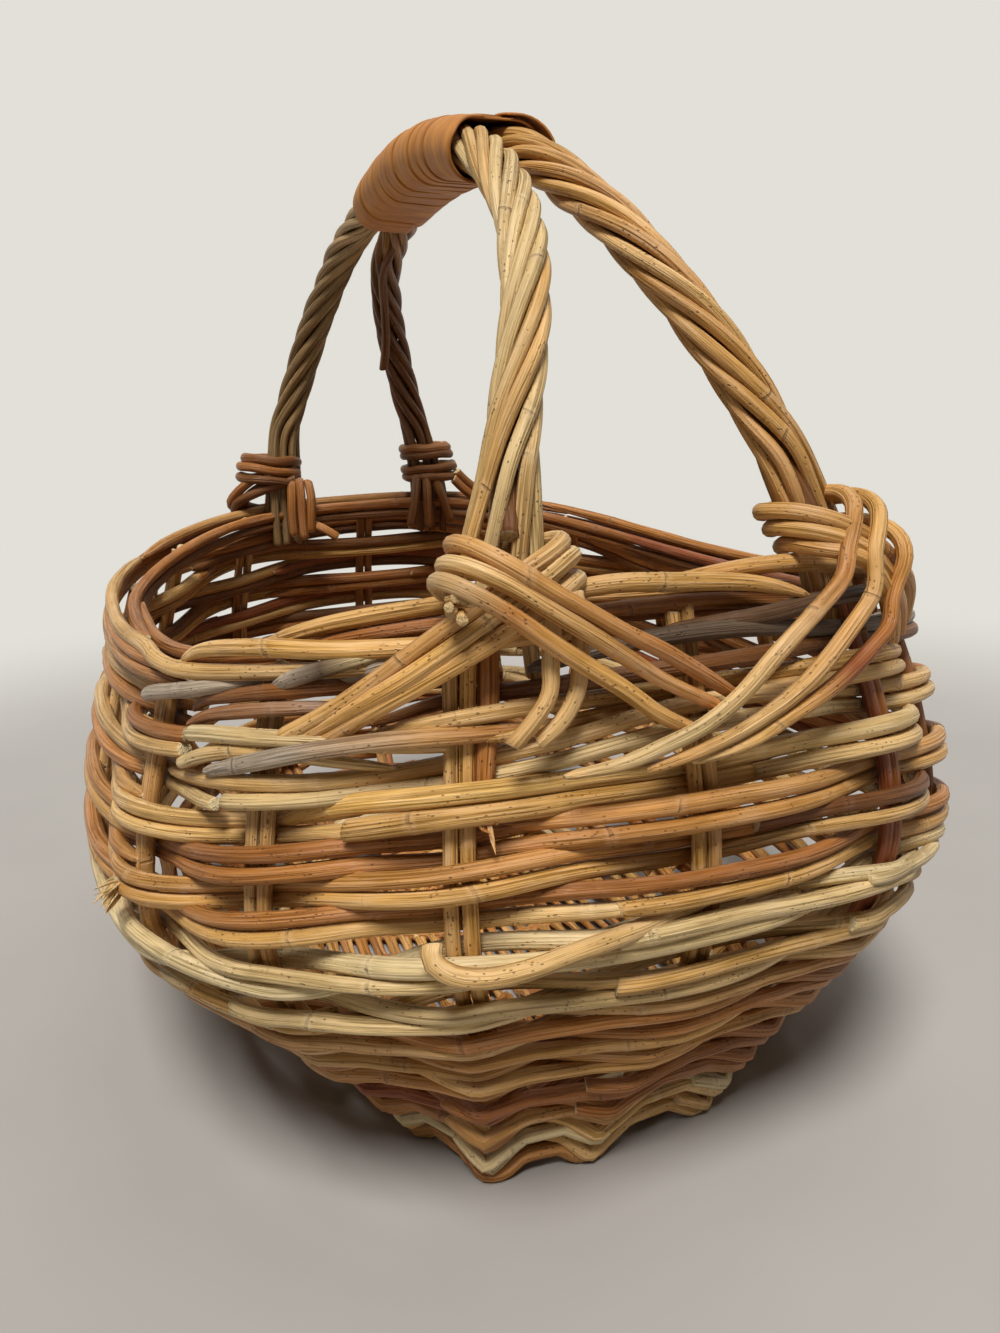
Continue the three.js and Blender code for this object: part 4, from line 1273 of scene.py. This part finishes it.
# Ties of the near feet: three rods lie on the wall, go once round the leg behind, and cross over
# themselves on the way down. Stops are places in millimetres.
tieRodRadius = 2.5
nearTieTips = {"near_left_tie": 0.6, "near_right_tie": 0.35}
nearTies = {
    "near_left_tie": [
        ([(-112, -149, 173), (-100, -159.5, 182), (-87, -167, 192), (-75, -172, 201), (-63, -177, 210),
          (-52, -182, 219),
          (-42, -178, 223), (-35, -167, 224), (-41, -157, 221), (-51, -153, 220), (-61, -156, 221),
          (-65.5, -165, 225),
          (-64.5, -178, 225.5), (-57, -187, 220.5), (-48, -190, 214), (-38, -191, 208), (-28, -191.5, 202),
          (-16, -191, 195.5), (-4, -191, 187.5), (8, -191, 179)],
         ("honey", "tan", "tan", "straw", "tan", "tan", "copper", "brown")),
        ([(-108, -152, 172), (-96, -163, 182), (-83, -171, 191), (-70, -176, 200), (-60, -179, 207),
          (-49, -183, 215),
          (-40, -179, 219), (-32, -168, 219.5), (-40, -158, 216), (-52, -155, 215), (-64, -158, 216),
          (-69, -168, 220), (-67.5, -181, 221), (-59, -187, 216.5), (-49, -190.5, 209.5), (-39, -191.5, 203),
          (-28, -192, 195.5), (-17, -191.5, 188), (-4, -191.5, 181),
          (3, -192, 177)], ("tan", "honey", "straw", "pale", "straw", "tan", "copper")),
        ([(-103, -156, 172), (-89, -167.5, 183), (-76, -174, 191), (-63, -179, 199), (-53, -181.5, 205),
          (-46, -183.5, 210), (-39, -180, 213), (-32, -170, 213.5), (-41, -160, 210), (-53, -158, 209.5),
          (-65, -161, 210.5), (-72.5, -171, 216), (-71, -184, 216.5), (-60, -188.5, 209.5), (-49, -191, 201),
          (-39, -191.5, 194), (-28, -192, 186.5), (-17, -192, 178), (-4, -192, 171)],
         ("tan", "honey", "tan", "pale", "cream", "copper", "honey", "tan")),
    ],
    "near_right_tie": [
        ([(93, -158, 186), (89, -164, 198), (78, -172, 207), (64, -178, 216), (50, -180, 223.5),
          (39, -173, 227),
          (33.5, -163, 226.5), (40, -154.5, 224.5), (49, -151.5, 226), (57, -155, 229), (59.5, -165, 231),
          (57.5, -174, 228.5), (52, -181, 223), (48, -184, 216.5), (44, -188, 210), (32, -191, 201),
          (18, -193.5, 191),
          (6, -194.5, 181), (-6, -195, 174), (-19, -194.5, 169.5), (-30, -194, 166.5), (-46, -192, 165)],
         ("tan", "copper", "tan", "honey", "tan", "copper", "straw", "pale", "straw")),
        ([(86, -164, 184), (82, -169, 194), (72, -176, 204), (61, -181, 212.5), (51, -182, 218.5),
          (41, -176, 221.5),
          (36, -165, 221.5), (42, -156.5, 219.5), (51, -153.5, 221.5), (59, -156, 227.5), (66, -166, 229.5),
          (65.5, -175, 227), (60.5, -182, 221.5), (56, -186, 215), (55, -188.5, 206), (43, -192, 194.5),
          (27, -194.5, 181.5), (10, -195.5, 172.5), (-6, -195.5, 167.5), (-23, -194.5, 164)],
         ("copper", "tan", "honey", "tan", "honey", "tan", "straw", "tan")),
        ([(79, -169, 183), (75, -174, 192), (66, -180, 203), (58, -183.5, 210.5), (52, -184, 214.5),
          (43, -178, 216.5),
          (39, -168, 217), (44, -159, 214.5), (52, -155.5, 216.5), (63, -158, 221), (71, -168, 221),
          (73, -176, 218), (72, -181, 212), (69, -181.5, 205), (66, -183, 199), (65, -184.5, 193.5),
          (53, -189, 186.5), (38, -193, 179), (24, -195, 173.5), (7, -195.5, 167), (-9, -194.5, 164.5)],
         ("tan", "honey", "tan", "tan", "honey", "copper", "russet", "honey", "straw")),
    ],
}
# Two pale rod ends that hang over the rows below the near left foot
curledEnds = [
    [(-46, -182, 213), (-45.5, -184, 204), (-47, -186, 195), (-48, -187.5, 187), (-53, -189, 181),
     (-60, -189.5, 174.5)],
    [(-38, -182, 212), (-37.5, -184, 203), (-38, -185.5, 195), (-40, -187, 186), (-45, -188, 179),
     (-52, -188, 174)],
]


def buildNearTie(name, slotName):
    draw = makeDraw(name)
    bundle = newBundle()
    for stops, tones in nearTies[name]:
        path = smoothPath(evenPath(curveThrough(stops, 10), 1.6), 3)
        path = path + np.stack([wander(draw, np.linspace(0, 5, len(path)), 0.25) for _ in range(3)], -1)
        radius = tieRodRadius * draw.uniform(0.96, 1.04)
        addRod(bundle, path, radius, tones, draw, tips=(1, nearTieTips[name]), tipLength=(10, 60))
    if name == "near_left_tie":
        for stops in curledEnds:
            path = smoothPath(curveThrough(stops, 10), 3)
            addRod(bundle, path, 2.4, ("straw", "tan"), draw)
        addKnot(bundle, draw)
    makePiece(name, "rods", bundle, slotName)


# A clump of trimmed ends beside the near left foot
def addKnot(bundle, draw):
    middle = np.array((-71, -184.5, 211.5))
    for i in range(8):
        turn = i * fullTurn / 8 + draw.uniform(-0.3, 0.3)
        reach = draw.uniform(1.0, 3.2)
        start = middle + (reach * math.cos(turn), 3.5, reach * math.sin(turn))
        end = start + draw.uniform((-2, -5.5, -1.5), (1, -2.5, 1.5))
        addRod(bundle, np.linspace(start, end, 5), draw.uniform(1.1, 1.6), ("straw", "tan"), draw,
               fresh=0.35)


# Ties of the far feet: rods round the leg, loose loops beside it, and ends down the inside.
# A ring is [height, reach to the side, reach out and in, rise towards the right].
farTies = {
    "far_left_tie": {
        "rings": [(229.5, 13, 11, -1.5), (224.5, 14, 11.5, -2.5), (219, 14.5, 12, -2)],
        "loops": [
            [(-57, 158, 223), (-65, 160, 219), (-72, 164, 213), (-75, 169, 207), (-70, 172, 203),
             (-60, 172, 203), (-48, 168, 205)],
            [(-56, 158, 218), (-63, 161, 214), (-68, 166, 209), (-66, 171, 205), (-56, 172, 202)],
            [(-42, 156, 219), (-54, 156, 216), (-65, 159, 212), (-73, 166, 207), (-71, 172, 200),
             (-60, 174, 198)],
        ],
        "shift": (-9, -3),
        "ends": [
            [(-41, 156, 218), (-42, 153, 210), (-42.5, 153, 200), (-42, 154, 189)],
            [(-37, 156, 219), (-37, 153, 211), (-37, 153, 200), (-36.5, 154, 187)],
            [(-32, 157, 218), (-31.5, 153, 210), (-32, 153, 200), (-33, 154, 190)],
            [(-30, 156, 194), (-26, 152, 192), (-19, 149, 187)],
        ],
        "tones": ("brown", "umber"),
        "endTones": ("brown", "copper"),
    },
    "far_right_tie": {
        "rings": [(232, 11.5, 10.5, 0.5), (228.5, 12, 11, 0.5), (221, 13, 11.5, 1), (216, 12.5, 11.5, 0)],
        "loops": [
            [(50, 157, 219), (56, 158, 213), (64, 158, 207), (72, 157, 203), (80, 156, 200)],
            [(48, 156, 215), (54, 157, 209), (62, 157, 203), (70, 156, 199)],
        ],
        "shift": (-7.5, -6),
        "ends": [
            [(33, 157, 217), (31, 154, 209), (29, 153, 199), (27, 154, 190)],
            [(38, 156, 217), (37.5, 153, 209), (37.5, 153, 199), (38, 154, 189)],
            [(43, 156, 216), (45, 153, 208), (48, 153, 199), (51, 154, 191)],
        ],
        "tones": ("umber", "brown"),
        "endTones": ("umber", "brown"),
    },
}


def buildFarTie(name, side, slotName):
    draw = makeDraw(name)
    leg = legLine(side, 1)
    foot = leg[0]
    parts = farTies[name]
    bundle = newBundle()
    for height, across, deep, rise in parts["rings"]:
        middle = leg[np.argmin(np.abs(leg[:, 2] - height))] if height > foot[2] else foot
        turn = np.linspace(-0.6, fullTurn + 0.5, 40) - side
        grow = np.linspace(0, 1.6, 40)
        x = middle[0] + parts["shift"][0] + (across + grow) * np.cos(turn)
        y = middle[1] + (deep + grow) * np.sin(turn)
        z = height + rise * np.cos(turn) + wander(draw, turn, 0.4)
        addRod(bundle, np.stack([x, y, z], -1), tieRodRadius, parts["tones"], draw)
    for stops in parts["loops"]:
        addRod(bundle, smoothPath(curveThrough(stops, 8), 2), tieRodRadius, parts["tones"][::-1], draw)
    for stops in parts["ends"]:
        stops = np.array(stops) + (parts["shift"][1], 0, 0)
        addRod(bundle, smoothPath(curveThrough(stops, 8), 2), tieRodRadius, parts["endTones"], draw)
    makePiece(name, "rods", bundle, slotName)


# Base: sticks that fan from a long heart, with fine rods woven over and under them
base = {
    "halfX": 73.5,
    "halfY": 134.5,
    "middle": 4.1,
    "wave": 2.35,
    "spokeRadius": 2.1,
    "fineRadius": 1.6,
    "finePitch": 3.45,
    "rings": 20,
}


def buildBase():
    draw = makeDraw("base")
    bundle = newBundle()
    power = 2 / wall["cornerPower"]
    spokes = wall["stakes"] * 2

    def oval(turn, inset):
        x = (base["halfX"] - inset) * signedPower(np.cos(turn), power)
        y = (base["halfY"] - inset) * signedPower(np.sin(turn), power)
        return x, y

    for i in range(spokes):
        turn = (i + 0.5) * fullTurn / spokes
        outer = oval(np.array(turn), 1.5)
        inner = oval(np.array(turn), base["halfX"] - 3)
        path = np.array([(float(outer[0]), float(outer[1]), base["middle"]),
                         (float(inner[0]), float(inner[1]), base["middle"])])
        addRod(bundle, evenPath(path, 4), base["spokeRadius"], ("copper", "brown"), draw)
    for ring in range(base["rings"]):
        inset = 2 + base["fineRadius"] + ring * base["finePitch"]
        turn = np.linspace(0, fullTurn, 300)
        x, y = oval(turn, inset)
        wave = np.cos(spokes / 2 * turn + ring * math.pi)
        path = np.stack([x, y, base["middle"] + base["wave"] * wave], -1)
        shift = draw.integers(0, 299)
        path = np.vstack([path[shift:-1], path[:shift + 1]])
        addRod(bundle, path, base["fineRadius"] * draw.uniform(0.92, 1.0),
               draw.permutation(["tan", "copper", "brown", "honey"])[:2], draw)
    makePiece("base_weave", "rods", bundle, "base_cane")


# Stage, light and camera

# Soft lights as wide discs in the sky: where from, strength, width in degrees, colour
lighting = {
    "backdrop": "#E2E0D8",
    "fill": 0.07,
    "lamps": {
        "softKey": ((-0.5, -0.85, 1.75), 3.5, 20, (1.0, 0.985, 0.96)),
        "overhead": ((0.5, 0.1, 1.6), 0.62, 40, (1.0, 0.985, 0.97)),
    },
}

# A painted studio floor: matt grey brown with a faint mottle. It goes over into the backdrop between
# two distances from the basket, in metres.
floorLook = {
    "radius": 40.0,
    "sides": 96,
    "mottle": 9.0,
    "tone": (0.37, 0.42),
    "hue": 0.09,
    "saturation": 0.1,
    "fade": (0.42, 0.95),
}


def raysThatSee(tree):
    rays = addNode(tree, "ShaderNodeLightPath")
    seen = rays.outputs["Is Camera Ray"]
    for kind in ("Is Glossy Ray", "Is Transmission Ray"):
        seen = addNode(tree, "ShaderNodeMath", {"operation": "MAXIMUM"}, {0: seen, 1: rays.outputs[kind]})
    return seen


def buildStage():
    material, tree = startMaterial("paintedStudioFloor")
    place = addNode(tree, "ShaderNodeTexCoord").outputs["Object"]
    values = {"Scale": floorLook["mottle"], "Detail": 6.0}
    mottle = addNode(tree, "ShaderNodeTexNoise", values, {"Vector": place})
    low, high = floorLook["tone"]
    tone = addNode(tree, "ShaderNodeMapRange", {"To Min": low, "To Max": high}, {"Value": mottle})
    values = {"mode": "HSV", 0: floorLook["hue"], 1: floorLook["saturation"]}
    colour = addNode(tree, "ShaderNodeCombineColor", values, {2: tone})
    shader = addNode(tree, "ShaderNodeBsdfPrincipled", {"Roughness": 0.8, "Specular IOR Level": 0.15},
                     {"Base Color": colour})

    # Away from the basket, what the camera sees of the floor goes over into the backdrop
    flat = addNode(tree, "ShaderNodeVectorMath", {"operation": "MULTIPLY", 1: (1, 1, 0)}, {0: place})
    away = addNode(tree, "ShaderNodeVectorMath", {"operation": "LENGTH"}, {0: flat})
    start, full = floorLook["fade"]
    values = {"From Min": start, "From Max": full, "interpolation_type": "SMOOTHSTEP"}
    far = addNode(tree, "ShaderNodeMapRange", values, {"Value": away.outputs["Value"]})
    share = addNode(tree, "ShaderNodeMath", {"operation": "MULTIPLY"}, {0: far, 1: raysThatSee(tree)})
    backdrop = addNode(tree, "ShaderNodeEmission", {"Color": (*hexToLinear(lighting["backdrop"]), 1)})
    seen = addNode(tree, "ShaderNodeMixShader", links={0: share, 1: shader, 2: backdrop})
    addNode(tree, "ShaderNodeOutputMaterial", links={"Surface": seen})
    mesh = bpy.data.meshes.new("studioFloor")
    radius, sides = floorLook["radius"], floorLook["sides"]
    turns = [i * fullTurn / sides for i in range(sides)]
    ring = [(radius * math.cos(turn), radius * math.sin(turn), 0) for turn in turns]
    mesh.from_pydata(ring, [], [tuple(range(sides))])
    mesh.materials.append(material)
    floor = bpy.data.objects.new("studioFloor", mesh)
    bpy.context.scene.collection.objects.link(floor)

    world = bpy.data.worlds.new("studioWorld")
    bpy.context.scene.world = world
    world.use_nodes = True
    tree = world.node_tree
    tree.nodes.clear()
    fill = addNode(tree, "ShaderNodeBackground", {"Color": (1.0, 0.92, 0.8, 1), "Strength": lighting["fill"]})
    shown = addNode(tree, "ShaderNodeBackground", {"Color": (*hexToLinear(lighting["backdrop"]), 1)})
    seen = addNode(tree, "ShaderNodeMixShader",
                   links={0: raysThatSee(tree), 1: fill.outputs[0], 2: shown.outputs[0]})
    addNode(tree, "ShaderNodeOutputWorld", links={"Surface": seen.outputs[0]})


def aim(thing, place, target):
    back = unit(np.array(place) - np.array(target))
    right = unit(np.cross((0.0, 0.0, 1.0), back))
    axes = np.stack([right, np.cross(back, right), back], -1)
    thing.rotation_mode = "QUATERNION"
    thing.rotation_quaternion = Matrix(axes.tolist()).to_quaternion()


def buildLights():
    for name, (place, power, width, colour) in lighting["lamps"].items():
        light = bpy.data.lights.new(name, "SUN")
        light.energy = power
        light.angle = math.radians(width)
        light.color = colour
        lamp = bpy.data.objects.new(name, light)
        lamp.location = place
        aim(lamp, place, (0, 0, 0))
        bpy.context.scene.collection.objects.link(lamp)


def buildCamera():
    yaw, down, roll = shot["yaw"], shot["down"], shot["roll"]
    forward = np.array((math.sin(yaw) * math.cos(down), math.cos(yaw) * math.cos(down), -math.sin(down)))
    right = np.array((math.cos(yaw), -math.sin(yaw), 0.0))
    below = np.cross(forward, right)
    rolledRight = math.cos(roll) * right + math.sin(roll) * below
    rolledDown = -math.sin(roll) * right + math.cos(roll) * below
    data = bpy.data.cameras.new("photoCamera")
    data.sensor_fit = "AUTO"
    data.sensor_width = 36
    data.lens = shot["focalPixels"] / shot["frameHeight"] * data.sensor_width
    camera = bpy.data.objects.new("photoCamera", data)
    camera.location = shot["place"]
    camera.rotation_mode = "QUATERNION"
    axes = np.stack([rolledRight, -rolledDown, -forward], -1)
    camera.rotation_quaternion = Matrix(axes.tolist()).to_quaternion()
    bpy.context.scene.collection.objects.link(camera)
    bpy.context.scene.camera = camera


buildCamera()
buildStakes()
print("uprights made")
for row, height in enumerate(waleHeights()):
    buildWaleRow(row, height)
for row in range(weavers["rows"]):
    buildWeaverRow(row)
print("rows made")
buildBorder()
buildBow("bow_left", -1, 1, ("straw", "pale", "pale", "honey", "pale"), "straw_cane")
buildBow("bow_right", 1, -1, ("tan", "honey", "tan", "straw", "tan"), "honey_cane")
buildGrip()
print("handle made")
buildNearTie("near_left_tie", "straw_cane")
buildNearTie("near_right_tie", "brown_cane")
buildFarTie("far_left_tie", -1, "brown_cane")
buildFarTie("far_right_tie", 1, "russet_cane")
buildBase()
buildStage()
buildLights()
bpy.context.scene.view_settings.view_transform = "Standard"
print("all pieces made")
